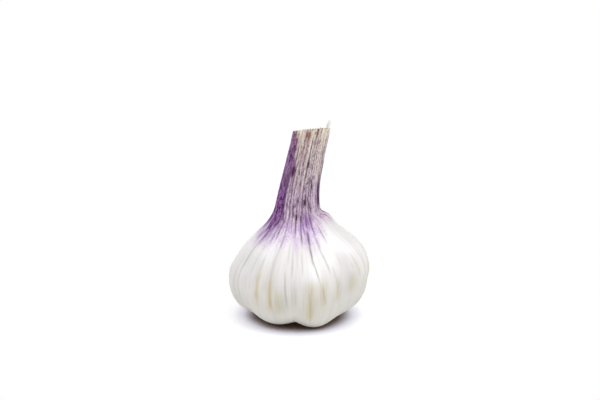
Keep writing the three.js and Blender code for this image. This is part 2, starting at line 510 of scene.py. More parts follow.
@dataclass(frozen=True)
class Streak:
    """A mark that runs along the skin: which way it faces, from where to where, how wide and how strong."""

    facing: float  # degrees from the front, to the right, at its top
    top: float
    bottom: float
    width: float  # millimetres
    strength: float = 1.0
    drift: float = 0.0  # degrees that it turns to the right on the way down

    def cover(self, facing: Array, station: Array, spacing: Array) -> Array:
        """How strongly the streak marks each place, from 0 to its strength.

        Args:
            facing: degrees from the front of each place.
            station: its height on the plain shape.
            spacing: millimetres to a degree round the form there.

        Returns:
            One number for each place.
        """
        length = self.top - self.bottom
        middle = self.facing + self.drift * (self.top - station) / length
        across = turned_from(facing, middle) * spacing / self.width
        fade = min(LONGEST_FADE, length / 3)
        along = smooth(station, self.bottom - fade, self.bottom + fade)
        along = along * (1 - smooth(station, self.top - fade, self.top + fade))
        return self.strength * np.exp(-(across**2)) * along


def cover_all(streaks: tuple[Streak, ...], facing: Array, station: Array, spacing: Array) -> Array:
    """The strongest cover that any of some streaks gives each place."""
    covers = [streak.cover(facing, station, spacing) for streak in streaks]
    return np.max(covers, axis=0)


# Dark lines that run out of the neck's folds, down over the shoulder.
FOLD_LINES = (
    Streak(-57.0, 47.0, 36.2, 0.6, 0.9, -4.0),
    Streak(-61.0, 37.0, 27.0, 0.5, 0.55, -1.5),
    Streak(-65.5, 44.0, 38.0, 0.45, 0.5, -3.0),
    Streak(-71.0, 40.0, 37.5, 0.7, 0.45, -3.0),
    Streak(-51.0, 45.5, 40.5, 0.6, 0.7, -1.0),
    Streak(-54.6, 43.0, 38.4, 0.4, 0.75, -2.0),
    Streak(-64.0, 45.5, 40.0, 0.5, 0.75, -2.0),
    Streak(-47.0, 44.6, 40.4, 0.34, 0.5, -1.0),
    Streak(-37.6, 45.0, 41.0, 0.3, 0.6, -1.0),
    Streak(-40.5, 44.5, 38.0, 0.4, 0.5, 0.5),
    Streak(-46.5, 44.0, 40.5, 0.3, 0.4, -1.0),
    Streak(-30.8, 46.0, 38.2, 0.36, 0.75, -2.6),
    Streak(-36.0, 46.5, 41.5, 0.3, 0.5, -1.0),
    Streak(-19.4, 46.0, 36.4, 0.36, 0.6, -3.2),
    Streak(-22.4, 38.2, 36.4, 0.3, 0.8),
    Streak(-25.5, 44.5, 40.0, 0.26, 0.4, -1.0),
    Streak(-15.6, 46.5, 41.0, 0.24, 0.4, -0.6),
    Streak(-10.8, 46.0, 41.0, 0.24, 0.4),
    Streak(-6.8, 46.5, 40.0, 0.22, 0.35),
    Streak(-2.2, 48.0, 40.2, 0.34, 0.8, -1.8),
    Streak(2.2, 46.5, 41.0, 0.22, 0.4, 0.6),
    Streak(8.8, 47.0, 38.0, 0.36, 0.85, -3.0),
    Streak(12.6, 45.0, 40.6, 0.24, 0.6, -1.0),
    Streak(21.0, 47.0, 42.6, 0.36, 1.0, -2.6),
    Streak(17.4, 41.2, 36.4, 0.46, 1.0, -3.2),
    Streak(14.2, 37.4, 31.0, 0.3, 0.85, -1.4),
    Streak(13.0, 32.4, 24.4, 0.27, 0.75, 3.6),
    Streak(31.4, 47.0, 42.4, 0.42, 1.0, -2.6),
    Streak(28.2, 43.4, 39.6, 0.32, 0.9, -1.0),
    Streak(26.6, 40.0, 34.0, 0.3, 0.6, -2.2),
    Streak(24.4, 34.6, 26.8, 0.42, 0.6, 2.4),
    Streak(24.8, 46.5, 43.0, 0.26, 0.6, -1.0),
    Streak(39.8, 42.6, 37.2, 0.34, 0.6, -1.0),
    Streak(36.0, 47.5, 43.8, 0.3, 0.45),
    Streak(47.0, 46.5, 42.5, 0.3, 0.3, 1.0),
    Streak(60.0, 46.0, 42.0, 0.3, 0.25, 2.0),
    Streak(-80.0, 47.0, 39.5, 0.5, 0.6, -2.0),
    Streak(-88.0, 47.0, 38.0, 0.4, 0.7, -3.0),
    Streak(-100.0, 48.0, 34.0, 0.4, 0.7),
    Streak(-112.0, 46.0, 38.0, 0.4, 0.6),
    Streak(-124.0, 47.0, 29.0, 0.42, 0.85, -3.0),
    Streak(-139.0, 47.0, 39.0, 0.4, 0.6),
    Streak(-152.0, 47.0, 33.0, 0.4, 0.8, 2.0),
    Streak(-166.0, 46.0, 38.0, 0.4, 0.6),
    Streak(98.0, 47.0, 37.0, 0.36, 0.5, 2.0),
    Streak(112.0, 46.0, 39.0, 0.36, 0.5),
    Streak(126.0, 47.0, 32.0, 0.4, 0.75, 3.0),
    Streak(140.0, 46.0, 39.0, 0.36, 0.6),
    Streak(153.0, 48.0, 35.0, 0.4, 0.8, -2.0),
    Streak(172.0, 47.0, 30.0, 0.42, 0.8, 2.0),
)

# Thin grey-brown lines along creases that carry on down the head below them: partly the skin's own grey lines,
# partly painted shade in the creases.
CREASES = (
    Streak(-23.0, 36.0, 31.0, 0.4, 0.35, -1.0),
    Streak(-24.8, 33.5, 25.0, 0.9, 0.5),
    Streak(-6.4, 37.0, 27.0, 0.36, 0.7),
    Streak(-10.6, 37.0, 31.5, 0.26, 0.35),
    Streak(-1.6, 34.6, 30.0, 0.26, 0.4),
    Streak(3.0, 34.8, 27.5, 0.3, 0.55),
    Streak(-12.2, 28.0, 14.6, 0.36, 0.85, 2.0),
    Streak(-6.0, 24.0, 15.5, 0.26, 0.3),
    Streak(-2.6, 21.0, 15.0, 0.26, 0.3),
    Streak(5.2, 25.0, 19.0, 0.3, 0.35),
    Streak(17.0, 24.0, 15.5, 0.26, 0.3, 1.0),
    Streak(30.4, 27.5, 20.5, 0.34, 0.55, 2.0),
    Streak(39.6, 31.5, 27.0, 0.4, 0.3),
    Streak(57.6, 29.0, 20.0, 0.5, 0.4, 2.6),
    Streak(52.4, 27.0, 24.5, 0.3, 0.4),
    Streak(66.0, 32.0, 22.0, 0.4, 0.35, 3.0),
    Streak(-46.4, 34.0, 26.0, 0.5, 0.35, 0.6),
    Streak(-36.6, 33.0, 27.5, 0.34, 0.3),
    Streak(-55.0, 24.0, 14.0, 0.4, 0.25),
    Streak(-62.0, 27.0, 12.0, 0.5, 0.4),
    Streak(-69.0, 30.0, 13.0, 0.5, 0.4, -1.0),
    Streak(-77.0, 29.0, 15.0, 0.5, 0.4, -2.0),
    Streak(-93.0, 31.0, 15.0, 0.5, 0.5, 2.0),
    Streak(-118.0, 32.0, 18.0, 0.5, 0.5, -2.0),
    Streak(-133.0, 30.0, 14.0, 0.5, 0.5),
    Streak(-156.0, 32.0, 17.0, 0.5, 0.5, 2.0),
    Streak(-176.0, 31.0, 16.0, 0.5, 0.5),
    Streak(84.0, 30.0, 15.0, 0.5, 0.5),
    Streak(99.0, 31.0, 17.0, 0.5, 0.4, 2.0),
    Streak(122.0, 32.0, 16.0, 0.5, 0.5),
    Streak(144.0, 30.0, 15.0, 0.5, 0.5, -2.0),
    Streak(161.0, 32.0, 17.0, 0.5, 0.4),
)

# Dark flecks in the sheath of the neck and along the collar.
FLECKS = (
    Streak(12.6, 70.2, 69.0, 0.4, 0.7),
    Streak(12.6, 68.8, 66.2, 0.62, 1.0),
    Streak(25.5, 67.6, 65.8, 0.5, 0.5),
    Streak(11.8, 64.4, 62.6, 0.42, 0.5),
    Streak(24.0, 62.4, 60.0, 0.35, 0.55, -3.0),
    Streak(30.5, 61.8, 59.6, 0.6, 0.7, 3.0),
    Streak(35.0, 60.0, 57.4, 0.5, 0.9, 3.0),
    Streak(13.4, 58.6, 57.4, 0.45, 0.6),
    Streak(40.0, 57.0, 56.0, 0.5, 0.4),
    Streak(19.4, 56.0, 53.2, 0.28, 1.0),
    Streak(18.4, 53.8, 51.2, 0.68, 1.0),
    Streak(14.0, 53.6, 51.8, 0.5, 0.55),
    Streak(31.6, 53.0, 49.6, 0.36, 0.75, 1.0),
    Streak(36.5, 50.4, 48.6, 0.5, 0.8),
    Streak(-11.6, 52.0, 50.2, 0.4, 0.5),
    Streak(-12.2, 50.0, 46.2, 0.32, 0.7),
    Streak(-18.6, 49.6, 45.8, 0.4, 0.6),
    Streak(-1.8, 48.0, 45.6, 0.52, 1.0),
    Streak(8.6, 47.6, 44.8, 0.4, 0.7),
    Streak(-8.0, 48.0, 46.6, 0.36, 0.5),
    Streak(3.0, 48.2, 46.4, 0.3, 0.4),
    Streak(15.4, 48.0, 46.0, 0.36, 0.5),
    Streak(-1.2, 54.0, 51.0, 0.32, 0.5),
    Streak(-30.0, 67.2, 63.4, 0.9, 1.0),
    Streak(-24.5, 66.4, 64.6, 0.5, 0.7),
    Streak(-43.8, 45.4, 43.6, 0.42, 1.0),
    Streak(-44.0, 47.4, 46.0, 0.36, 0.6),
    Streak(-33.0, 46.4, 45.0, 0.36, 0.8),
    Streak(-60.0, 46.0, 44.6, 0.5, 0.8),
    Streak(33.5, 76.8, 75.6, 0.5, 0.6),
    Streak(23.0, 76.2, 75.0, 0.45, 0.4),
    Streak(72.0, 59.2, 49.4, 1.5, 1.0, 1.0),
    Streak(68.0, 57.6, 53.0, 0.7, 1.0, 2.0),
    Streak(64.0, 63.5, 57.0, 0.6, 0.85, 3.0),
    Streak(75.0, 76.0, 62.0, 0.7, 0.45),
    Streak(120.0, 70.0, 67.0, 0.6, 0.8),
    Streak(150.0, 58.0, 54.0, 0.6, 0.8),
    Streak(-160.0, 62.0, 59.0, 0.6, 0.8),
)

# Dark streaks inside the purple of the neck.
PURPLE_STREAKS = (
    Streak(-42.0, 66.5, 46.0, 0.7, 0.8),
    Streak(-53.0, 73.0, 70.2, 1.1, 1.0),
    Streak(-46.0, 71.4, 69.0, 0.5, 0.8),
    Streak(-52.0, 69.2, 67.6, 0.6, 0.7),
    Streak(-64.0, 67.4, 65.0, 0.8, 0.7),
    Streak(-40.0, 78.4, 76.6, 0.4, 0.8),
    Streak(-60.0, 73.6, 71.8, 1.2, 0.7),
    Streak(-44.0, 76.0, 73.6, 0.6, 0.7),
    Streak(-47.0, 81.5, 78.0, 0.5, 0.6),
    Streak(-56.0, 62.8, 60.0, 1.2, 0.9),
    Streak(-48.0, 60.0, 58.6, 0.6, 0.7),
    Streak(-66.0, 59.0, 57.0, 0.7, 0.8),
    Streak(-50.0, 57.4, 55.6, 1.0, 0.5),
    Streak(-63.0, 54.0, 50.0, 0.5, 0.4),
    Streak(-55.0, 52.0, 48.0, 0.36, 0.4),
    Streak(-74.0, 66.0, 55.0, 0.6, 0.5),
    Streak(-34.0, 53.0, 49.0, 0.6, 0.5),
    Streak(-100.0, 72.0, 50.0, 0.7, 0.7),
    Streak(-128.0, 76.0, 56.0, 0.7, 0.6),
    Streak(-155.0, 68.0, 48.0, 0.7, 0.6),
    Streak(170.0, 74.0, 52.0, 0.7, 0.6),
    Streak(140.0, 70.0, 50.0, 0.7, 0.6),
    Streak(112.0, 66.0, 50.0, 0.7, 0.6),
)

# Saturated violet, thin in the skin where the purple gives out on the shoulder.
VIOLET_PATCHES = (
    Streak(-48.0, 42.5, 36.6, 2.0, 0.3),
    Streak(-49.0, 40.6, 37.8, 1.3, 0.5),
    Streak(-56.0, 44.5, 36.4, 1.5, 0.6, -3.0),
    Streak(-68.0, 44.5, 36.4, 2.0, 0.48),
    Streak(-42.0, 44.5, 38.0, 1.1, 0.4),
    Streak(21.0, 48.0, 41.2, 1.6, 0.62),
    Streak(19.5, 45.6, 42.6, 0.5, 0.8),
    Streak(27.0, 46.5, 42.0, 0.8, 0.5),
    Streak(12.0, 46.0, 41.0, 0.8, 0.45),
    Streak(14.0, 41.5, 37.6, 0.9, 0.65),
    Streak(16.0, 43.0, 35.0, 2.0, 0.34),
    Streak(13.5, 38.5, 33.0, 0.6, 0.4),
    Streak(7.0, 44.0, 38.0, 0.6, 0.4, -2.0),
    Streak(-31.0, 44.0, 39.5, 0.7, 0.3),
    Streak(-11.0, 45.0, 42.4, 0.6, 0.4),
    Streak(-90.0, 43.0, 38.5, 2.0, 0.7),
    Streak(-125.0, 43.0, 38.0, 1.8, 0.6),
    Streak(-152.0, 43.5, 39.0, 1.6, 0.6),
    Streak(174.0, 43.0, 38.5, 1.8, 0.6),
    Streak(150.0, 43.5, 39.5, 1.4, 0.5),
)

# Red-brown marks just under the cut, where the sheaths dried.
BROWN_MARKS = (
    Streak(-1.5, 81.0, 77.6, 0.62, 1.0),
    Streak(-9.5, 81.2, 78.0, 0.8, 1.0),
    Streak(-17.5, 81.4, 79.0, 0.4, 0.6),
    Streak(-5.0, 80.4, 76.4, 1.3, 0.85),
    Streak(23.0, 82.6, 78.6, 0.6, 0.9),
    Streak(31.0, 77.6, 76.4, 0.6, 0.35),
    Streak(-12.0, 76.6, 70.0, 0.8, 0.55),
    Streak(-8.0, 74.0, 67.0, 1.0, 0.25),
    Streak(-52.0, 82.0, 76.5, 1.0, 0.4),
    Streak(-36.0, 80.5, 66.0, 1.0, 0.24),
    Streak(-31.0, 76.0, 58.0, 0.5, 0.2),
    Streak(-58.0, 64.6, 62.6, 1.5, 0.4),
    Streak(130.0, 81.8, 78.0, 0.7, 0.7),
    Streak(-140.0, 81.8, 79.0, 0.7, 0.6),
)

# Long grooves between the ribs of the neck, painted dark: partly the sheath's own dark lines, partly painted
# shade in the grooves.
GROOVES = (
    Streak(-27.0, 81.0, 57.0, 0.3, 0.7),
    Streak(-20.5, 60.0, 46.0, 0.24, 0.5),
    Streak(-15.0, 73.0, 50.0, 0.24, 0.45),
    Streak(-8.6, 66.0, 47.0, 0.24, 0.4),
    Streak(-1.0, 78.0, 49.0, 0.32, 0.85),
    Streak(5.4, 62.0, 46.0, 0.22, 0.3),
    Streak(11.5, 79.0, 48.0, 0.28, 0.6),
    Streak(18.0, 79.0, 62.0, 0.22, 0.3),
    Streak(23.0, 82.6, 76.0, 0.34, 0.7),
    Streak(23.0, 77.0, 68.0, 0.24, 0.3),
    Streak(29.5, 80.0, 66.0, 0.22, 0.25),
    Streak(34.0, 62.5, 56.0, 0.24, 0.6, 2.0),
    Streak(26.0, 62.5, 58.0, 0.24, 0.5),
    Streak(60.0, 76.0, 72.0, 0.4, 0.4),
    Streak(34.5, 83.0, 78.6, 0.24, 0.85),
    Streak(88.0, 80.0, 50.0, 0.3, 0.6),
    Streak(118.0, 80.0, 52.0, 0.3, 0.6),
    Streak(146.0, 78.0, 50.0, 0.3, 0.6),
)

# Cream ribs of the neck.
CREAM_RIBS = (
    Streak(-29.5, 83.0, 75.0, 0.36, 0.9),
    Streak(-22.0, 83.0, 75.5, 0.42, 1.0),
    Streak(-24.0, 77.0, 66.0, 0.36, 0.5),
    Streak(-15.5, 83.0, 80.6, 0.4, 0.8),
    Streak(6.5, 83.0, 71.0, 0.42, 0.9),
    Streak(6.5, 72.0, 56.0, 0.36, 0.5),
    Streak(10.5, 83.0, 78.0, 0.4, 0.8),
    Streak(-5.5, 66.0, 56.0, 0.3, 0.4),
    Streak(-15.0, 66.0, 58.0, 0.3, 0.35),
    Streak(28.5, 83.0, 78.0, 0.32, 0.9),
    Streak(43.0, 83.0, 77.0, 0.7, 0.85),
    Streak(52.0, 68.0, 60.0, 0.6, 0.6),
    Streak(60.0, 83.0, 74.0, 1.2, 0.8),
    Streak(110.0, 83.0, 60.0, 0.6, 0.5),
    Streak(160.0, 83.0, 55.0, 0.6, 0.5),
)

# Ochre and olive stains low on the cloves: narrow cores in wide soft halos.
STAINS = (
    Streak(-36.4, 27.6, 15.5, 1.1, 0.75, 1.4),
    Streak(-35.4, 25.6, 19.6, 0.34, 0.6),
    Streak(-37.6, 21.0, 16.6, 0.34, 0.8),
    Streak(-35.5, 28.0, 13.5, 1.9, 0.3),
    Streak(-33.6, 28.4, 24.6, 0.5, 0.4),
    Streak(-24.3, 26.0, 12.4, 0.7, 1.0, 0.4),
    Streak(-25.6, 27.0, 12.0, 0.5, 0.35),
    Streak(-24.0, 27.5, 11.0, 2.0, 0.35),
    Streak(-19.6, 21.0, 12.5, 0.26, 0.5),
    Streak(-17.8, 21.5, 12.0, 0.24, 0.55),
    Streak(-16.0, 20.6, 11.6, 0.24, 0.5),
    Streak(-14.2, 21.0, 12.5, 0.24, 0.4),
    Streak(-17.0, 20.0, 10.5, 2.2, 0.5),
    Streak(-5.2, 20.5, 14.4, 0.26, 0.45),
    Streak(-3.4, 20.5, 14.4, 0.26, 0.4),
    Streak(8.2, 20.5, 6.0, 0.7, 1.0, 2.0),
    Streak(9.2, 15.0, 8.5, 0.3, 0.7, 0.8),
    Streak(9.5, 23.5, 7.0, 2.4, 0.5),
    Streak(6.6, 22.0, 16.0, 0.3, 0.35),
    Streak(12.4, 21.0, 11.0, 0.34, 0.4),
    Streak(14.6, 20.0, 12.0, 0.26, 0.35),
    Streak(18.8, 22.0, 14.0, 0.46, 1.0, 2.8),
    Streak(19.6, 23.4, 13.0, 1.9, 0.42),
    Streak(31.8, 21.6, 15.2, 0.4, 0.8, 1.4),
    Streak(33.0, 23.0, 14.0, 1.6, 0.5),
    Streak(50.0, 22.8, 15.6, 2.8, 0.45),
    Streak(57.6, 28.0, 20.6, 1.4, 0.2, 1.5),
    Streak(66.0, 20.0, 12.0, 1.0, 0.2),
    Streak(78.0, 24.0, 12.0, 0.8, 0.5),
    Streak(79.0, 24.0, 11.0, 2.2, 0.3),
    Streak(104.0, 22.0, 10.0, 0.6, 0.8),
    Streak(105.0, 24.0, 9.0, 2.0, 0.35),
    Streak(131.0, 26.0, 13.0, 0.6, 0.8),
    Streak(130.0, 26.0, 11.0, 2.2, 0.35),
    Streak(163.0, 22.0, 9.0, 0.6, 0.9),
    Streak(162.0, 24.0, 8.0, 2.2, 0.35),
    Streak(-171.0, 25.0, 12.0, 0.6, 0.7),
    Streak(-170.0, 26.0, 10.0, 2.0, 0.35),
    Streak(-139.0, 23.0, 10.0, 0.6, 0.9),
    Streak(-140.0, 25.0, 9.0, 2.2, 0.35),
    Streak(-111.0, 26.0, 14.0, 0.6, 0.7),
    Streak(-110.0, 26.0, 12.0, 2.0, 0.3),
    Streak(-86.0, 24.0, 13.0, 0.8, 0.5),
    Streak(-68.0, 22.0, 13.0, 1.0, 0.2),
)

# Broad places painted whiter: on the head mostly painted highlight, on the shoulders, the clove in front and
# round the sides; on the neck, whiter patches of the skin itself.
BLEACHED_AND_HIGHLIT = (
    Streak(12.5, 31.5, 24.0, 3.0, 1.0),
    Streak(29.0, 36.0, 28.0, 3.0, 0.7),
    Streak(58.0, 40.0, 31.0, 7.0, 0.8),
    Streak(-34.0, 38.0, 32.0, 3.0, 0.8),
    Streak(50.0, 63.0, 44.0, 1.5, 0.75),
    Streak(-36.0, 59.0, 51.0, 0.7, 0.5),
    Streak(-92.0, 38.0, 29.0, 5.0, 0.7),
    Streak(-125.0, 36.0, 26.0, 5.0, 0.7),
    Streak(150.0, 36.0, 26.0, 5.0, 0.7),
)
# Broad places painted duller: on the head mostly painted shade, over its front, in the creases between the
# cloves and along its right side; on the neck, duller patches of the skin itself.
DULLED_AND_SHADED = (
    Streak(-38.0, 33.0, 23.0, 2.6, 0.8),
    Streak(-1.0, 40.0, 31.0, 3.4, 0.6),
    Streak(-3.0, 35.0, 20.0, 3.8, 0.62),
    Streak(-20.0, 36.0, 20.0, 7.0, 0.62),
    Streak(-50.0, 34.0, 22.0, 5.0, 0.5),
    Streak(46.0, 45.0, 38.5, 3.0, 0.8),
    Streak(74.0, 46.0, 32.0, 6.0, 0.9),
    Streak(-12.0, 71.0, 57.0, 1.5, 0.6),
    Streak(22.0, 58.0, 45.0, 2.4, 0.3),
    Streak(46.0, 32.0, 15.0, 4.4, 0.8),
    Streak(-12.0, 20.0, 12.0, 4.0, 0.4),
    Streak(-66.0, 34.0, 22.0, 3.0, 0.4),
    Streak(-150.0, 28.0, 16.0, 4.0, 0.6),
    Streak(116.0, 30.0, 16.0, 4.0, 0.6),
)

# The neck's purple: station and facing of its right edge, of its left edge further round, and how far down
# it and the sheath's mauve come, as facing and station.
PURPLE_RIGHT = (
    (46.0, -33.0),
    (58.0, -35.5),
    (62.0, -31.0),
    (65.0, -24.0),
    (68.0, -27.0),
    (71.0, -36.0),
    (77.0, -40.0),
    (81.0, -48.0),
)
PURPLE_LEFT = (
    (46.0, 96.0),
    (49.5, 84.0),
    (51.5, 66.0),
    (59.0, 62.0),
    (64.0, 75.0),
    (72.0, 91.0),
    (80.0, 100.0),
)
PURPLE_FOOT = (
    (-180.0, 44.0),
    (-110.0, 44.0),
    (-80.0, 42.4),
    (-60.0, 41.2),
    (-51.0, 42.4),
    (-43.0, 44.0),
    (-34.0, 45.0),
    (-24.0, 47.5),
    (90.0, 46.0),
    (180.0, 44.0),
)
SHEATH_FOOT = (
    (-180.0, 43.5),
    (-45.0, 43.5),
    (-25.0, 44.6),
    (-10.0, 44.2),
    (5.0, 43.8),
    (30.0, 44.6),
    (45.0, 44.4),
    (62.0, 43.2),
    (90.0, 42.6),
    (180.0, 43.5),
)

# The lists by the names under which the skin stores them.
MARK_STREAKS = {
    "fold": FOLD_LINES,
    "fleck": FLECKS,
    "brown": BROWN_MARKS,
    "cream": CREAM_RIBS,
    "groove": GROOVES,
    "stain": STAINS,
    "crease": CREASES,
    "violet": VIOLET_PATCHES,
    "deep": PURPLE_STREAKS,
    "bleached_and_highlit": BLEACHED_AND_HIGHLIT,
    "dulled_and_shaded": DULLED_AND_SHADED,
}


def read_edge(edge: tuple[tuple[float, float], ...], along: Array) -> Array:
    """How far an edge reaches at each place along it."""
    places, reach = zip(*edge)
    return np.interp(along, places, reach)


@dataclass(frozen=True)
class Span:
    """A stretch over which something comes in softly, or fades out."""

    start: float
    end: float

    def share(self, value: Array) -> Array:
        """How far a value is through the span, from 0 to 1."""
        return smooth(value, self.start, self.end)

    def rest(self, value: Array) -> Array:
        """How much of the span is still ahead of a value, from 1 to 0."""
        return 1 - self.share(value)


@dataclass(frozen=True)
class Veins:
    """The lengthwise veins of the skin, and the pleats that it gathers in between them at the neck."""

    count: int = 44
    jitter: float = 1.7  # degrees
    faintest: float = 0.4
    wander: float = 1.1  # degrees
    # The waves in which it wanders: share, pitch and phase.
    swings: tuple[tuple[float, float, float], ...] = ((1.0, 0.12, 0.6), (0.6, 0.31, 2.0))

    def directions(self, rng: np.random.Generator) -> Array:
        """Where the veins face, in degrees from -180, in order."""
        even = (np.arange(self.count) + 0.5) * 360 / self.count - 180
        return even + rng.uniform(-self.jitter, self.jitter, self.count)

    def read(self, rng: np.random.Generator, facing: Array, station: Array) -> tuple[Array, Array, Array]:
        """Where each place lies between its two veins.

        Args:
            rng: the seeded source of the veins' numbers.
            facing: degrees from the front of each place.
            station: its height on the plain shape.

        Returns:
            Its share of the way from one vein to the next, the degrees to the nearest one, and how strong
            that one is.
        """
        directions = self.directions(rng)
        strengths = rng.uniform(self.faintest, 1.0, self.count)
        swung = sum(part * np.sin(pitch * station + phase) for part, pitch, phase in self.swings)
        turned = (facing + self.wander * swung - directions[0]) % 360
        starts = directions - directions[0]
        ends = np.append(starts[1:], 360.0)
        index = np.clip(np.searchsorted(starts, turned, side="right") - 1, 0, self.count - 1)
        gap = ends[index] - starts[index]
        share = (turned - starts[index]) / gap
        nearest = np.where(share < 0.5, index, (index + 1) % self.count)
        return share, np.minimum(share, 1 - share) * gap, strengths[nearest]


@dataclass(frozen=True)
class Markings:
    """Where each of the skin's colours shows. The spans are degrees from the front, or millimetres up."""

    edge_wave: Wave = (40, 12.0)  # how the edges of the colours waver
    sheath_waver: float = 0.9
    sheath_softness: float = 2.0
    softer_right: Span = Span(30, 45)
    softer_by: float = 1.5
    purple_waver: float = 3.0  # degrees
    right_edge: Span = Span(-7, 6)  # softness of the purple's two edges, in degrees past them
    left_edge: Span = Span(-5, 7)
    purple_middle: float = -70.0
    behind: Span = Span(75, 130)  # degrees from the purple's middle at which it thins out
    thin_by: float = 0.25
    foot_softness: float = 1.6
    foot_softer_behind: float = 1.2
    purple_side: float = -64.0
    purple_side_spread: float = 20.0
    dried_waver: float = 0.3
    dried: Span = Span(80.2, 81.6)  # the purple dries out just under the cut
    dried_keeps: float = 0.65  # how far the purple side stays as it is
    dried_by: float = 0.7
    wash_foot: float = 34.6  # how far down the lilac wash of the shoulder comes
    wash_lift: float = 5.6  # how much higher the wash ends at the right
    lift_in: Span = Span(34, 56)
    lift_out: Span = Span(88, 110)
    wash_waver: float = 1.2
    wash_fade: Span = Span(-1, 9)
    tip_waver: float = 0.8
    tip: Span = Span(72, 81)  # the sheath turns tan towards the cut
    end_waver: float = 0.5
    end: Span = Span(78.6, 81.4)  # and cream at its very end, least on the purple side
    end_keeps: float = 0.8
    speckle_in: Span = Span(2, 14)  # dark speckles lie right of the front, up to near the cut
    speckle_out: Span = Span(44, 60)
    speckle_top: Span = Span(68, 77)

    def store(
        self,
        skin: bpy.types.Object,
        rng: np.random.Generator,
        facing: Array,
        station: Array,
        spacing: Array,
        vein: Array,
    ) -> None:
        """Stores how strongly each of the skin's colours shows at each vertex.

        Args:
            skin: the piece.
            rng: the seeded source of the uneven edges.
            facing: degrees from the front of each vertex.
            station: its height on the plain shape.
            spacing: millimetres to a degree round the form there.
            vein: how close it is to a vein, 1 on it.
        """
        uneven = ripples(rng, facing, station, self.edge_wave)
        on_purple_side = hump(facing, self.purple_side, self.purple_side_spread)
        softness = self.sheath_softness + self.softer_by * self.softer_right.share(facing)
        past_foot = station + self.sheath_waver * uneven - read_edge(SHEATH_FOOT, facing)
        neck = smooth(past_foot / softness, -1, 1)
        speckled = self.speckle_in.share(facing) * self.speckle_out.rest(facing)
        marks = {
            "purple": self.purple(facing, station, uneven, on_purple_side),
            "wash": self.wash(facing, station, uneven),
            "neck": neck,
            "vein": vein,
            "tip": self.tip.share(station + self.tip_waver * uneven),
            "end": self.end.share(station + self.end_waver * uneven) * (1 - self.end_keeps * on_purple_side),
            "speckle": neck * speckled * self.speckle_top.rest(station),
        }
        for name, streaks in MARK_STREAKS.items():
            marks[name] = cover_all(streaks, facing, station, spacing)
        for name, values in marks.items():
            write_number(skin, name, values)

    def purple(self, facing: Array, station: Array, uneven: Array, on_purple_side: Array) -> Array:
        """How purple the neck is at each place: all round but for the strip that faces front and right.

        Args:
            facing: degrees from the front of each place.
            station: its height on the plain shape.
            uneven: how far the edges of the colours waver there, from about -1 to 1.
            on_purple_side: 1 in the middle of the side where the purple is darkest.

        Returns:
            One number for each place, from 0 to 1.
        """
        turned = facing + self.purple_waver * uneven
        past_right = self.right_edge.share(turned - read_edge(PURPLE_RIGHT, station))
        bare = past_right * self.left_edge.rest(turned - read_edge(PURPLE_LEFT, station))
        behind = self.behind.share(np.abs(turned_from(facing, self.purple_middle)))
        softness = self.foot_softness + self.foot_softer_behind * behind
        above_foot = station + self.sheath_waver * uneven - read_edge(PURPLE_FOOT, facing)
        purple = (1 - bare) * smooth(above_foot, -softness, softness)
        dried = self.dried.share(station + self.dried_waver * uneven)
        dried = dried * (1 - self.dried_keeps * on_purple_side)
        return purple * (1 - self.thin_by * behind) * (1 - self.dried_by * dried)

    def wash(self, facing: Array, station: Array, uneven: Array) -> Array:
        """How far the thin lilac wash covers each place of the shoulder.

        Args:
            facing: degrees from the front of each place.
            station: its height on the plain shape.
            uneven: how far the edges of the colours waver there, from about -1 to 1.

        Returns:
            One number for each place, from 0 to 1.
        """
        lifted = self.wash_lift * self.lift_in.share(facing) * self.lift_out.rest(facing)
        return self.wash_fade.share(station - (self.wash_foot + lifted + self.wash_waver * uneven))


# ---------------------------------------------------------------------------------------------------------
# The skin


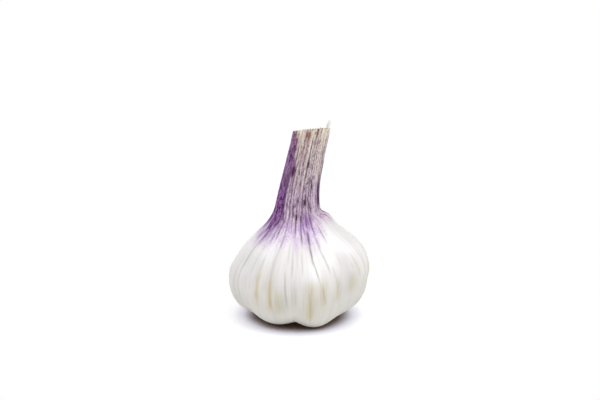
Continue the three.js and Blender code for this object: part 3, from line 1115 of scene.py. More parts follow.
@dataclass
class Skin:
    """The papery skin over the cloves and up the neck, one closed shell."""

    columns: int = 480
    head_rows: int = 108
    neck_rows: int = 84
    fine_from: float = 42.0  # above this height the rows are closer, for the neck's marks
    wall: float = 0.55
    rim_round: float = 0.12
    rim_crown: float = 0.1  # how far the rounded rim rises, and falls towards the inside
    rim_fall: float = 0.05
    inside_taper: tuple[float, float] = (0.1, 0.3)  # half-way down and at the bottom
    inside_depth: float = 5.0  # how far the shell goes down inside the cut
    jag: float = 0.2  # raggedness of the cut edge
    jag_wave: Wave = (60, 50.0)
    jag_reach: float = 1.2
    collar: float = 46.0  # where the pleats are deepest
    pleat_depth: float = 0.34
    pleat_spread: float = 6.0
    pleat_fullness: float = 0.8
    rib_height: float = 0.16
    ribs: Span = Span(FORM.neck_foot - 2, FORM.neck_foot + 5)
    vein_width: float = 0.3
    vein_swell: float = 0.05
    veins_foot: Span = Span(2, 10)
    veins_top: Span = Span(34, 44)
    fibre_height: float = 0.035
    fibres_to_gap: int = 3  # between one vein and the next
    fibre_shift: float = 5.0
    ripple_height: float = 0.1
    broad_wave: Wave = (26, 26.0)
    fine_wave: Wave = (70, 9.0)
    fine_share: float = 0.4
    ripples_foot: Span = Span(3, 12)
    crest_height: float = 0.45  # how far the cloves show through the skin of the shoulder
    crest_station: float = 32.0
    crest_spread: float = 9.0
    fold_depth: float = 0.2
    crease_depth: float = 0.12
    neck_trim: float = 0.12  # the ribs lie this much inside the plain form
    sheath_step: float = 0.25  # the strip that the outer sheath leaves bare lies this much lower
    sheath_foot: Span = Span(44, 50)
    sheath_left: Span = Span(-28, -26)  # facing of its two edges
    sheath_right: Span = Span(81, 83)
    relief_foot: Span = Span(FORM.hollow_height, 6)  # the relief fades out where the skin turns under

    def rows(self) -> tuple[Array, Array]:
        """The radius and height of each row of the shell, from under the head to inside the cut.

        Returns:
            The radii and the heights, in millimetres.
        """
        radius, height = FORM.outline()
        along = np.concatenate([[0], np.cumsum(np.hypot(np.diff(radius), np.diff(height)))])
        split = along[np.argmax(height >= self.fine_from)]
        head = np.linspace(0, split, self.head_rows, endpoint=False)
        spread = np.concatenate([head, np.linspace(split, along[-1], self.neck_rows)])
        radius, height = np.interp(spread, along, radius), np.interp(spread, along, height)
        inner, depth = FORM.neck_radius - self.wall, self.inside_depth
        crown = (FORM.neck_radius - self.rim_round, inner + self.rim_round)
        rim_radius = [*crown, inner, *(inner - taper for taper in self.inside_taper), 0]
        rim_height = [self.rim_crown, self.rim_crown, -self.rim_fall, -depth / 2, -depth, -depth]
        pole = [0.0]
        return (
            np.concatenate([pole, radius, rim_radius]),
            np.concatenate([[FORM.hollow_height], height, FORM.cut + np.array(rim_height)]),
        )

    def build(self) -> bpy.types.Object:
        """Rolls a sheet round the form, then raises its veins, pleats and sheath edge.

        Returns:
            The skin, closed all round.
        """
        radius, height = self.rows()
        last = len(radius) - 1
        skin, around, up = add_sheet("papery_skin", self.columns, last)
        row = np.rint(up * last).astype(int)
        facing = around * 360 - 180
        station = height[row]
        places = FORM.grow(np.radians(facing - 90), radius[row], station)
        move_to(skin, places * MM + plate_middle())
        stored = {
            "facing": facing,
            "station": station,
            "outer": (row > 0) & (row <= self.head_rows + self.neck_rows + 1),
        }
        for name, values in stored.items():
            write_number(skin, name, values)
        close_up(skin)
        facing, station, outer = (read_number(skin, name) for name in stored)
        for name in stored:
            skin.data.attributes.remove(skin.data.attributes[name])
        self.raise_relief(skin, facing, station, outer)
        return skin

    def raise_relief(self, skin: bpy.types.Object, facing: Array, station: Array, outer: Array) -> None:
        """Moves the skin's vertices out and in for what stands off its smooth form, and stores its marks.

        Args:
            skin: the rolled shell.
            facing: degrees from the front of each vertex.
            station: its height on the plain shape.
            outer: 1 on the outside of the shell and 0 inside the cut.
        """
        rng = np.random.default_rng(SEED)
        places = read_places(skin)
        middle = plate_middle()
        spacing = np.hypot(places[:, 0] - middle[0], places[:, 1] - middle[1]) / MM * TURN / 360
        spacing = np.where(station > FORM.neck_foot, FORM.neck_radius * TURN / 360, spacing)
        share, away, strength = Veins().read(rng, facing, station)
        vein = strength * np.exp(-((away * spacing / self.vein_width) ** 2))
        bulge = np.sin(np.pi * share) ** self.pleat_fullness - 0.5  # out between the veins, and in at them

        in_neck = self.ribs.share(station)
        pleats = self.pleat_depth * hump(station, self.collar, self.pleat_spread)
        veins = self.vein_swell * self.veins_top.rest(station) * self.veins_foot.share(station)
        relief = (pleats + self.rib_height * in_neck + veins) * bulge
        fibres = np.cos(self.fibres_to_gap * TURN * share + self.fibre_shift * strength)
        relief += self.fibre_height * in_neck * fibres
        rippled = self.ripple_height * self.ripples_foot.share(station)
        relief += rippled * ripples(rng, facing, station, self.broad_wave)
        fullness, _, _ = FORM.nearest_clove(facing - 90)
        relief += self.crest_height * (fullness - 0.5) * hump(station, self.crest_station, self.crest_spread)
        relief -= self.fold_depth * cover_all(FOLD_LINES, facing, station, spacing)
        relief -= self.crease_depth * cover_all(CREASES, facing, station, spacing)
        relief += self.fine_share * rippled * ripples(rng, facing, station, self.fine_wave)
        bare = self.sheath_left.share(facing) * self.sheath_right.rest(facing)
        relief -= (self.neck_trim + self.sheath_step * bare) * self.sheath_foot.share(station)
        relief *= outer * self.relief_foot.share(station)
        ragged = self.jag * ripples(rng, facing, station * 0, self.jag_wave)
        ragged *= smooth(station, FORM.cut - self.jag_reach, FORM.cut)
        places = places + read_normals(skin) * (relief * MM)[:, None]
        places[:, 2] += ragged * MM
        move_to(skin, places)
        write_rolled(skin, facing, station)
        Markings().store(skin, rng, facing, station, spacing, vein)


# ---------------------------------------------------------------------------------------------------------
# The cut end of the neck


@dataclass
class NeckEnd:
    """The layers of dried leaf sheath inside the cut, and the stalk that they wrap."""

    columns: int = 144
    walls: tuple[float, ...] = (0.5, 0.55, 0.5, 0.45)
    gap: float = 0.32
    first_gap: float = 0.75
    step: float = 0.3  # each layer was cut or shrank a little lower
    depth: float = 4.9
    edge_round: float = 0.1
    edge_row: float = 0.3  # how far under a layer's edge its next row of vertices is
    waver: float = 0.13
    waver_wave: Wave = (12, 40.0)
    jag: float = 0.2
    jag_wave: Wave = (44, 40.0)
    jag_reach: float = 1.5
    stalk_radius: float = 2.5
    stalk_sides: int = 40
    stalk_rim: float = 0.15
    stalk_crown: float = 0.12
    pith_radius: float = 1.1
    pith_edge: float = 0.2
    pith_depth: float = 0.5
    sharp_from: float = 40.0  # degrees between faces

    def build(self) -> list[bpy.types.Object]:
        """Makes each sheath layer as a closed ring, then the stalk.

        Returns:
            The layers from the outside in, and the stalk.
        """
        outer = FORM.neck_radius - self.first_gap
        made = []
        for i, wall in enumerate(self.walls):
            made.append(self.layer(i, outer, wall, FORM.cut - (i + 1) * self.step))
            outer -= wall + self.gap
        made.append(self.stalk(FORM.cut - (len(self.walls) + 1) * self.step))
        return made

    def layer(self, number: int, outer: float, wall: float, top: float) -> bpy.types.Object:
        """Rolls one sheath layer.

        Args:
            number: which layer it is, from the outside.
            outer: its outer radius.
            wall: its thickness.
            top: height of its edge.

        Returns:
            The ring, closed all round.
        """
        rng = np.random.default_rng(SEED + 1 + number)
        inner, floor, edge = outer - wall, FORM.cut - self.depth, self.edge_round
        heights = (floor, (floor + top) / 2, top - self.edge_row, top - edge)
        outside = [(outer, height) for height in heights]
        inside = [(inner, height) for height in reversed(heights)]
        loop = [*outside, (outer - edge, top), (inner + edge, top), *inside, (outer, floor)]
        last = len(loop) - 1
        ring, around, up = add_sheet(f"sheath_layer_{number + 1}", self.columns, last)
        radius, height = np.array(loop)[np.rint(up * last).astype(int)].T
        facing = around * 360 - 180
        radius = radius + self.waver * ripples(rng, facing, height * 0, self.waver_wave)
        ragged = self.jag * ripples(rng, facing, height * 0, self.jag_wave)
        places = FORM.grow(np.radians(facing - 90), radius, height)
        places[:, 2] += ragged * smooth(height, top - self.jag_reach, top - edge)
        move_to(ring, places * MM + plate_middle())
        write_rolled(ring, facing, height)
        close_up(ring)
        return ring

    def stalk(self, top: float) -> bpy.types.Object:
        """Makes the stalk: a rod with a worn rim and a sunken pith, leaning with the neck.

        Args:
            top: height of its rim.

        Returns:
            The stalk.
        """
        stalk = add_disc("stalk", self.stalk_sides, self.stalk_radius, top - self.depth, top, np.zeros(3))
        select_faces(stalk, upwards=True)
        bpy.ops.mesh.inset(thickness=self.stalk_rim * MM)
        bpy.ops.transform.translate(value=(0, 0, self.stalk_crown * MM))
        bpy.ops.mesh.inset(thickness=(self.stalk_radius - self.pith_radius - self.stalk_rim) * MM)
        bpy.ops.mesh.inset(thickness=self.pith_edge * MM)
        bpy.ops.transform.translate(value=(0, 0, -self.pith_depth * MM))
        bpy.ops.mesh.poke()
        bpy.ops.object.mode_set(mode="OBJECT")
        plain = read_places(stalk) / MM
        angle = np.arctan2(plain[:, 1], plain[:, 0])
        places = FORM.grow(angle, np.hypot(plain[:, 0], plain[:, 1]), plain[:, 2])
        move_to(stalk, places * MM + plate_middle())
        write_rolled(stalk, np.degrees(angle) + 90, plain[:, 2])
        close_up(stalk)
        bpy.ops.object.shade_smooth_by_angle(angle=math.radians(self.sharp_from))
        return stalk


@dataclass
class TornSliver:
    """The narrow sliver of sheath that tore instead of being cut, and stands up at the right of the cut."""

    columns: int = 6
    rows: int = 18
    facing: float = 60.0
    inset: float = 0.4  # from the outside of the neck
    turned: float = 42.0  # which way its broad side faces
    height: float = 3.5
    width: float = 1.9
    thickness: float = 0.3
    root: float = 1.4
    lean: float = 0.32
    curl: float = 0.25
    taper: float = 0.3
    taper_from: float = 0.6
    tear: float = 0.0192  # how far its edges waver
    tear_pitch: float = 9.0  # radians to a millimetre
    tip_slope: float = 0.5
    tip_side: float = 0.2  # share of the way across at which the sloping tip stays as high
    tip_from: float = 0.8  # share of the height from which it slopes
    fibre_turn: float = 3.0  # degrees of the fibres' pattern to a millimetre across

    def build(self) -> bpy.types.Object:
        """Shapes a small sheet to a tapering, curled blade and gives it its thickness.

        Returns:
            The sliver.
        """
        blade, across, up = add_sheet("torn_sliver", self.columns, self.rows)
        rise = -self.root + up * (self.height + self.root)
        taper = 1 - self.taper * smooth(rise, self.taper_from, self.height)
        torn = self.tear * np.sin(self.tear_pitch * rise) * smooth(rise, 0, 1)
        side = (across - 0.5) * self.width * taper + torn
        rise = rise - self.tip_slope * (across - self.tip_side) * smooth(up, self.tip_from, 1)
        cupped = -self.curl * (1 - (2 * across - 1) ** 2) * taper
        rim = np.array([FORM.neck_radius - self.inset])
        foot = FORM.grow(np.radians([self.facing - 90]), rim, np.array([FORM.cut]))[0]
        angle = math.radians(self.turned - 90)
        x = foot[0] + cupped * math.cos(angle) - side * math.sin(angle) + self.lean * rise
        y = foot[1] + cupped * math.sin(angle) + side * math.cos(angle)
        places = np.stack([x, y, foot[2] + rise], axis=1)
        move_to(blade, places * MM + plate_middle())
        write_rolled(blade, self.facing + side * self.fibre_turn, FORM.cut + rise)
        bpy.ops.object.modifier_add(type="SOLIDIFY")
        solidify = blade.modifiers[-1]
        solidify.thickness = self.thickness * MM
        solidify.offset = 0
        bpy.ops.object.modifier_apply(modifier=solidify.name)
        close_up(blade)
        return blade


# ---------------------------------------------------------------------------------------------------------
# The root plate


@dataclass
class RootPlate:
    """The corky plate under the head, with the stubs of its trimmed roots."""

    radius: float = 9.6
    thickness: float = 1.9
    sides: int = 96
    recess: float = 0.6  # the plate's own underside is this far above the cut ends of the roots
    rim_bevel: float = 0.4
    rim_segments: int = 3
    inset: float = 0.6  # width of each ring of faces on the underside
    insets: int = 14
    uneven: float = 0.16
    uneven_wave: Wave = (22, 2.2)
    uneven_from: Span = Span(0.5, 3)  # distances from the middle
    dish: float = 0.15
    dish_from: Span = Span(2, 8)
    under_edge: float = 0.2  # the underside's vertices are up to this far above it
    rim_waver: float = 0.012  # share of the distance from the middle
    rim_wave: Wave = (40, 9.0)
    rim_from: Span = Span(6, 9)
    # Rings of roots: how many, how far from the middle, and the radians that they lean outwards.
    rings: tuple[tuple[int, float, float], ...] = (
        (14, 3.4, 0.1),
        (20, 5.4, 0.2),
        (27, 7.2, 0.35),
        (32, 8.7, 0.5),
    )
    turn_jitter: float = 0.22  # of the spacing in a ring
    distance_jitter: float = 0.3
    tilt_jitter: float = 0.15
    root_reach: float = 0.5  # how far the roots may pass the plate's edge
    root_radius: float = 0.62
    thinnest: float = 0.7
    thickest: float = 1.15
    root_taper: float = 0.8  # the cut end's radius, as a share of that at the plate
    root_sides: int = 9
    root_length: float = 1.7
    root_bevel: float = 0.12
    root_segments: int = 2
    clearance: float = 0.02  # of the roots' cut ends over the surface
    root_cover: float = 0.1  # how far under the plate's top the roots end
    sharp_from: float = 50.0  # degrees between faces
    plate_seed: int = 11
    root_seed: int = 12

    def build(self) -> list[bpy.types.Object]:
        """Makes the plate, then every root stub as a mesh of its own, joined into one piece."""
        return [self.plate(), self.roots()]

    def plate(self) -> bpy.types.Object:
        """Shapes a disc with a worn rim and a slightly hollow, uneven underside.

        Returns:
            The plate.
        """
        middle = plate_middle()
        plate = add_disc("root_plate_cork", self.sides, self.radius, self.recess, self.thickness, middle)
        bevel_all(self.rim_bevel, self.rim_segments)
        select_faces(plate, upwards=False)
        for _ in range(self.insets):
            bpy.ops.mesh.inset(thickness=self.inset * MM)
        bpy.ops.mesh.poke()
        bpy.ops.object.mode_set(mode="OBJECT")
        rng = np.random.default_rng(SEED + self.plate_seed)
        places = read_places(plate)
        away = places[:, :2] - middle[:2]
        facing = np.degrees(np.arctan2(away[:, 1], away[:, 0]))
        distance = np.hypot(away[:, 0], away[:, 1]) / MM
        under = places[:, 2] < (self.recess + self.under_edge) * MM
        raised = self.uneven * ripples(rng, facing, distance, self.uneven_wave)
        raised = raised * self.uneven_from.share(distance) + self.dish * self.dish_from.rest(distance)
        places[:, 2] += np.where(under, raised, 0) * MM
        worn = self.rim_waver * ripples(rng, facing, distance * 0, self.rim_wave)
        places[:, :2] += away * (worn * self.rim_from.share(distance))[:, None]
        move_to(plate, places)
        close_up(plate)
        return plate

    def roots(self) -> bpy.types.Object:
        """Plants the root stubs in rings, each leaning out and cut off level at the surface.

        Returns:
            The roots, joined.
        """
        rng = np.random.default_rng(SEED + self.root_seed)
        stubs = []
        for ring, (count, distance, tilt) in enumerate(self.rings):
            for i in range(count):
                turned = i + 0.5 * (ring % 2) + rng.uniform(-self.turn_jitter, self.turn_jitter)
                moved = distance + rng.uniform(-self.distance_jitter, self.distance_jitter)
                tilted = tilt + rng.uniform(-self.tilt_jitter, self.tilt_jitter)
                thick = self.root_radius * rng.uniform(self.thinnest, self.thickest)
                stubs.append(self.stub(turned * TURN / count, moved, tilted, thick))
        start_piece()
        for stub in stubs:
            stub.select_set(True)
        bpy.context.view_layer.objects.active = stubs[0]
        bpy.ops.object.join()
        roots = name_piece("root_stubs")
        places = read_places(roots) / MM
        distance = np.maximum(np.hypot(places[:, 0], places[:, 1]), self.root_radius)
        places[:, :2] *= np.minimum(1, (self.radius + self.root_reach) / distance)[:, None]
        places[:, 2] = np.clip(places[:, 2], self.clearance, self.thickness - self.root_cover)
        move_to(roots, places * MM + plate_middle())
        close_up(roots)
        bpy.ops.object.shade_smooth_by_angle(angle=math.radians(self.sharp_from))
        return roots

    def stub(self, angle: float, distance: float, tilt: float, thick: float) -> bpy.types.Object:
        """Makes one root stub.

        Args:
            angle: where it grows round the plate, in radians.
            distance: how far from the plate's middle.
            tilt: radians that it leans outwards.
            thick: its radius at the plate.

        Returns:
            The stub, around the plate's middle.
        """
        bpy.ops.mesh.primitive_cone_add(
            vertices=self.root_sides,
            radius1=thick * self.root_taper * MM,
            radius2=thick * MM,
            depth=self.root_length * MM,
            end_fill_type="NGON",
        )
        stub = bpy.context.object
        bevel_all(self.root_bevel, self.root_segments)
        places = read_places(stub)
        out = distance * MM + places[:, 0] * math.cos(tilt) - places[:, 2] * math.sin(tilt)
        up = places[:, 0] * math.sin(tilt) + places[:, 2] * math.cos(tilt)
        up += (self.root_length / 2 + self.clearance) * MM
        x = out * math.cos(angle) - places[:, 1] * math.sin(angle)
        y = out * math.sin(angle) + places[:, 1] * math.cos(angle)
        move_to(stub, np.stack([x, y, up], axis=1))
        return stub


# ---------------------------------------------------------------------------------------------------------
# Finishes


def add_node(tree: bpy.types.NodeTree, kind: str, inputs: dict | None = None, **settings) -> bpy.types.Node:
    """Adds one node.

    Args:
        tree: the node tree that it goes in.
        kind: the node's type.
        inputs: for each input, by name or number, the socket that feeds it or its value.
        settings: the node's own properties; "stops" gives a colour ramp's places and colours.

    Returns:
        The node.
    """
    made = tree.nodes.new(kind)
    stops = settings.pop("stops", None)
    for name, value in settings.items():
        setattr(made, name, value)
    for key, value in (inputs or {}).items():
        if isinstance(value, bpy.types.NodeSocket):
            tree.links.new(value, made.inputs[key])
        else:
            made.inputs[key].default_value = value
    if stops:
        elements = made.color_ramp.elements
        while len(elements) < len(stops):
            elements.new(0.5)
        for element, (position, colour) in zip(elements, stops):
            element.position = position
            element.color = linear(colour)
    return made


def new_tree(name: str) -> tuple[bpy.types.Material, bpy.types.NodeTree]:
    """A new empty node material and its tree.

    Args:
        name: the material's name.

    Returns:
        The material and its tree.
    """
    material = bpy.data.materials.new(name)
    material.use_nodes = True
    material.node_tree.nodes.clear()
    return material, material.node_tree


class Blend(Enum):
    """How a colour is laid over another."""

    PAINT = "MIX"
    STAIN = "MULTIPLY"


def lay(tree: bpy.types.NodeTree, under: Paint, over: Paint, amount: Amount, blend: Blend) -> Socket:
    """Lays one colour over another.

    Args:
        tree: the node tree that it is done in.
        under: the colour below.
        over: the colour above.
        amount: how far the upper one shows, from 0 to 1.
        blend: how it is laid.

    Returns:
        The colour that comes of it.
    """
    values = {0: amount, 6: under, 7: over}
    settings = {"data_type": "RGBA", "blend_type": blend.value, "clamp_factor": True}
    return add_node(tree, "ShaderNodeMix", values, **settings).outputs[2]


@dataclass(frozen=True)
class Ramp:
    """How one range of a value is spread softly over another."""

    start: float
    end: float
    low: float = 0.0
    high: float = 1.0

    def spread(self, tree: bpy.types.NodeTree, value: Socket) -> Socket:
        """The value after it is spread.

        Args:
            tree: the node tree that it goes in.
            value: the value before.

        Returns:
            The value after it.
        """
        values = {
            "Value": value,
            "From Min": self.start,
            "From Max": self.end,
            "To Min": self.low,
            "To Max": self.high,
        }
        made = add_node(tree, "ShaderNodeMapRange", values, interpolation_type="SMOOTHSTEP")
        return made.outputs["Result"]


@dataclass(frozen=True)
class Noise:
    """Noise in grains of a size, drawn out along the fibres."""

    size: float  # millimetres across, on the neck
    stretch: float
    detail: float
    roughness: float


class Pattern(Enum):
    """What a coat of colour can vary with."""

    STATION = "the height on the plain shape"
    TONES = "the purple's mottles, broken fibres and grain together"
    FIBRES = Noise(0.5, 16, 3.0, 0.6)
    BROKEN = Noise(0.42, 5.0, 3.0, 0.65)
    GRAIN = Noise(0.36, 1.6, 2.0, 0.6)
    THREADS = Noise(0.2, 70, 2.0, 0.6)  # the same fibres, widened over the head
    MOTTLES = Noise(1.1, 2.0, 3.0, 0.6)
    BLOTCHES = Noise(4.5, 3.0, 3.0, 0.55)
    BANDS = Noise(1.0, 18.0, 1.0, 0.5)


class Tint(Enum):
    """The skin's colours."""

    WHITE = "EDEAE6"
    BLEACHED_AND_HIGHLIT = "FBFBFA"
    SHADE = "D5D2CF"
    WARM = "E3E0D6"
    VEIN = "A8A799"
    CREASE = "85817A"
    STAIN = "BDA64A"
    OLIVE = "A3A466"
    LILAC = "CBB2D4"
    VIOLET = "9A62B2"
    FOLD = "4E2A5C"
    FOLD_LOW = "7E7A7C"
    PURPLE_LIGHT = "A678AE"
    PURPLE = "824A8A"
    PURPLE_DARK = "30023C"
    PLUM = "AA8094"
    SHEATH_LOW = "D1BACD"
    SHEATH_HIGH = "E8D9CE"
    GROOVE = "664460"
    RIDGE = "EEE2E0"
    RIDGE_LOW = "EBDBEA"
    MAUVE = "A98A9C"
    CREAM = "F5ECD5"
    TIP = "DDCCB0"
    BROWN = "7C4446"
    FLECK = "320A32"


@dataclass(frozen=True)
class Coat:
    """One colour laid over the ones below it, as far as a mark, a pattern or both let it show."""

    colour: "Tint | Layers"
    mark: str = ""  # the stored mark that it follows
    pattern: Pattern | None = None  # what varies it, by the ramp
    ramp: Ramp | None = None
    strength: float = 1.0  # of a coat without a pattern


@dataclass(frozen=True)
class Layers:
    """A colour with the coats that are laid over it, the lowest first."""

    ground: Tint
    coats: tuple[Coat, ...]


# The coats of each colour. Ramps over the station are in millimetres, and the others are over a noise.
YELLOW = Layers(Tint.OLIVE, (Coat(Tint.STAIN, pattern=Pattern.BLOTCHES, ramp=Ramp(0.4, 0.5)),))
RIDGES = Layers(Tint.RIDGE_LOW, (Coat(Tint.RIDGE, pattern=Pattern.STATION, ramp=Ramp(56, 68)),))
VIOLETS = Layers(
    Tint.VIOLET,
    (Coat(Tint.PURPLE_DARK, pattern=Pattern.THREADS, ramp=Ramp(0.5, 0.62, 0.0, 0.5)),),
)
FOLDS = Layers(Tint.FOLD_LOW, (Coat(Tint.FOLD, pattern=Pattern.STATION, ramp=Ramp(34, 40)),))
SHEATH = Layers(
    Tint.SHEATH_LOW,
    (
        Coat(Tint.SHEATH_HIGH, pattern=Pattern.STATION, ramp=Ramp(52, 72)),
        Coat(Tint.MAUVE, "dulled_and_shaded", strength=0.8),
        Coat(RIDGES, "bleached_and_highlit", strength=0.7),
        Coat(RIDGES, pattern=Pattern.BROKEN, ramp=Ramp(0.5, 0.62, 0.0, 0.9)),
        Coat(Tint.TIP, "tip", strength=0.6),
        Coat(Tint.GROOVE, pattern=Pattern.GRAIN, ramp=Ramp(0.48, 0.35, 0.0, 0.52)),
        Coat(Tint.CREAM, "cream", strength=0.95),
        Coat(Tint.CREAM, "end", Pattern.BROKEN, Ramp(0.4, 0.55, 0.6, 1.0)),
        # painted shade in the grooves between the ribs, with the sheath's own dark lines
        Coat(Tint.GROOVE, "grooves", Pattern.STATION, Ramp(45, 56, 0.75, 0.9)),
        Coat(Tint.FLECK, "speckle", Pattern.BROKEN, Ramp(0.56, 0.62, 0.0, 0.8)),
    ),
)
PURPLES = Layers(
    Tint.PURPLE,
    (
        Coat(Tint.PURPLE_LIGHT, pattern=Pattern.STATION, ramp=Ramp(52, 44, 0.0, 0.75)),
        Coat(Tint.PURPLE_LIGHT, pattern=Pattern.STATION, ramp=Ramp(58, 68, 0.0, 0.75)),
        Coat(Tint.PLUM, pattern=Pattern.STATION, ramp=Ramp(70, 80, 0.0, 0.85)),
        Coat(Tint.PURPLE_DARK, pattern=Pattern.TONES, ramp=Ramp(0.505, 0.543, 0.0, 0.95)),
        Coat(Tint.PURPLE_LIGHT, pattern=Pattern.TONES, ramp=Ramp(0.497, 0.465, 0.0, 0.9)),
        Coat(Tint.PURPLE_DARK, "deep", strength=0.85),
    ),
)
SKIN_LAYERS = Layers(
    Tint.WHITE,
    (
        # darker and warmer towards the foot: partly the skin's own straw colour, partly painted shade low on
        # the head
        Coat(Tint.WARM, pattern=Pattern.STATION, ramp=Ramp(30, 11, 0.0, 0.95)),
        # painted highlight on the head, and whiter patches of the skin itself on the neck
        Coat(Tint.BLEACHED_AND_HIGHLIT, "bleached_and_highlit", strength=0.8),
        # painted shade on the head, and duller patches of the skin itself on the neck
        Coat(Tint.SHADE, "dulled_and_shaded", strength=0.75),
        Coat(Tint.SHADE, pattern=Pattern.BANDS, ramp=Ramp(0.44, 0.6, 0.0, 0.2)),
        Coat(Tint.SHADE, pattern=Pattern.FIBRES, ramp=Ramp(0.42, 0.66, 0.0, 0.06)),
        Coat(Tint.VEIN, pattern=Pattern.THREADS, ramp=Ramp(0.5, 0.68, 0.0, 0.1)),
        Coat(Tint.VEIN, "vein", Pattern.THREADS, Ramp(0.35, 0.6, 0.02, 0.15)),
        # grey-brown lines, partly painted shade in the creases
        Coat(Tint.CREASE, "crease", Pattern.THREADS, Ramp(0.3, 0.6, 0.3, 0.6)),
        Coat(YELLOW, "stain", Pattern.THREADS, Ramp(0.3, 0.6, 0.5, 0.7)),
        Coat(Tint.LILAC, "wash", Pattern.MOTTLES, Ramp(0.3, 0.65, 0.35, 0.95)),
        Coat(Tint.VIOLET, "wash", Pattern.GRAIN, Ramp(0.5, 0.66, 0.0, 0.5)),
        Coat(SHEATH, "neck"),
        Coat(VIOLETS, "violet", Pattern.MOTTLES, Ramp(0.3, 0.55, 0.45, 0.95)),
        Coat(PURPLES, "reach", Pattern.BLOTCHES, Ramp(0.3, 0.55, 0.8, 1.0)),
        Coat(FOLDS, "fold", Pattern.FIBRES, Ramp(0.25, 0.6, 0.5, 0.95)),
        Coat(Tint.BROWN, "brown", Pattern.MOTTLES, Ramp(0.3, 0.6, 0.3, 0.95)),
        Coat(Tint.FLECK, "fleck", Pattern.MOTTLES, Ramp(0.25, 0.5, 0.8, 1.0)),
    ),
)


class Brush:
    """Adds the nodes that paint the skin with its marks and patterns."""

    def __init__(self, tree: bpy.types.NodeTree) -> None:
        """Starts with the places on the skin and the noises that are stretched along them.

        Args:
            tree: the material's node tree.
        """
        self.tree = tree
        self.marks: dict[str, Socket] = {}
        rolled = add_node(tree, "ShaderNodeAttribute", attribute_name="rolled").outputs["Vector"]
        self.patterns = {Pattern.STATION: add_node(tree, "ShaderNodeSeparateXYZ", {0: rolled}).outputs["Z"]}
        for pattern in Pattern:
            if isinstance(pattern.value, Noise):
                self.patterns[pattern] = self.noise(rolled, pattern.value)

    def noise(self, rolled: Socket, noise: Noise) -> Socket:
        """One noise, by the places on the skin.

        Args:
            rolled: the places on the skin.
            noise: its sizes.

        Returns:
            The noise, from 0 to 1.
        """
        values = {"Vector": rolled, "Scale": (1, 1, 1 / noise.stretch)}
        drawn = add_node(self.tree, "ShaderNodeMapping", values).outputs[0]
        values = {
            "Vector": drawn,
            "Scale": 1 / noise.size,
            "Detail": noise.detail,
            "Roughness": noise.roughness,
        }
        return add_node(self.tree, "ShaderNodeTexNoise", values).outputs["Fac"]

    def mark(self, name: str) -> Socket:
        """A mark of the skin, as it is stored or as it was worked out before.

        Args:
            name: the mark's name.

        Returns:
            How strongly it shows at each place.
        """
        if name not in self.marks:
            stored = add_node(self.tree, "ShaderNodeAttribute", attribute_name=name)
            self.marks[name] = stored.outputs["Fac"]
        return self.marks[name]

    def times(self, first: Socket, second: Amount) -> Socket:
        """Multiplies two values."""
        return add_node(self.tree, "ShaderNodeMath", {0: first, 1: second}, operation="MULTIPLY").outputs[0]

    def plus(self, first: Socket, second: Socket) -> Socket:
        """Adds two values, up to 1."""
        values = {0: first, 1: second}
        return add_node(self.tree, "ShaderNodeMath", values, operation="ADD", use_clamp=True).outputs[0]

    def vary(self, pattern: Pattern, ramp: Ramp) -> Socket:
        """A pattern spread by a ramp."""
        return ramp.spread(self.tree, self.patterns[pattern])

    def amount(self, coat: Coat) -> Amount:
        """How far a coat shows at each place.

        Args:
            coat: the coat.

        Returns:
            A number from 0 to 1, or a socket that gives it.
        """
        varied = self.vary(coat.pattern, coat.ramp) if coat.pattern else coat.strength
        return self.times(self.mark(coat.mark), varied) if coat.mark else varied

    def paint(self, layers: Layers) -> Socket:
        """Lays coats over their ground, one after the other.

        Args:
            layers: the ground and its coats.

        Returns:
            The colour that comes of them.
        """
        colour = linear(layers.ground.value)
        for coat in layers.coats:
            layered = isinstance(coat.colour, Layers)
            over = self.paint(coat.colour) if layered else linear(coat.colour.value)
            colour = lay(self.tree, colour, over, self.amount(coat), Blend.PAINT)
        return colour


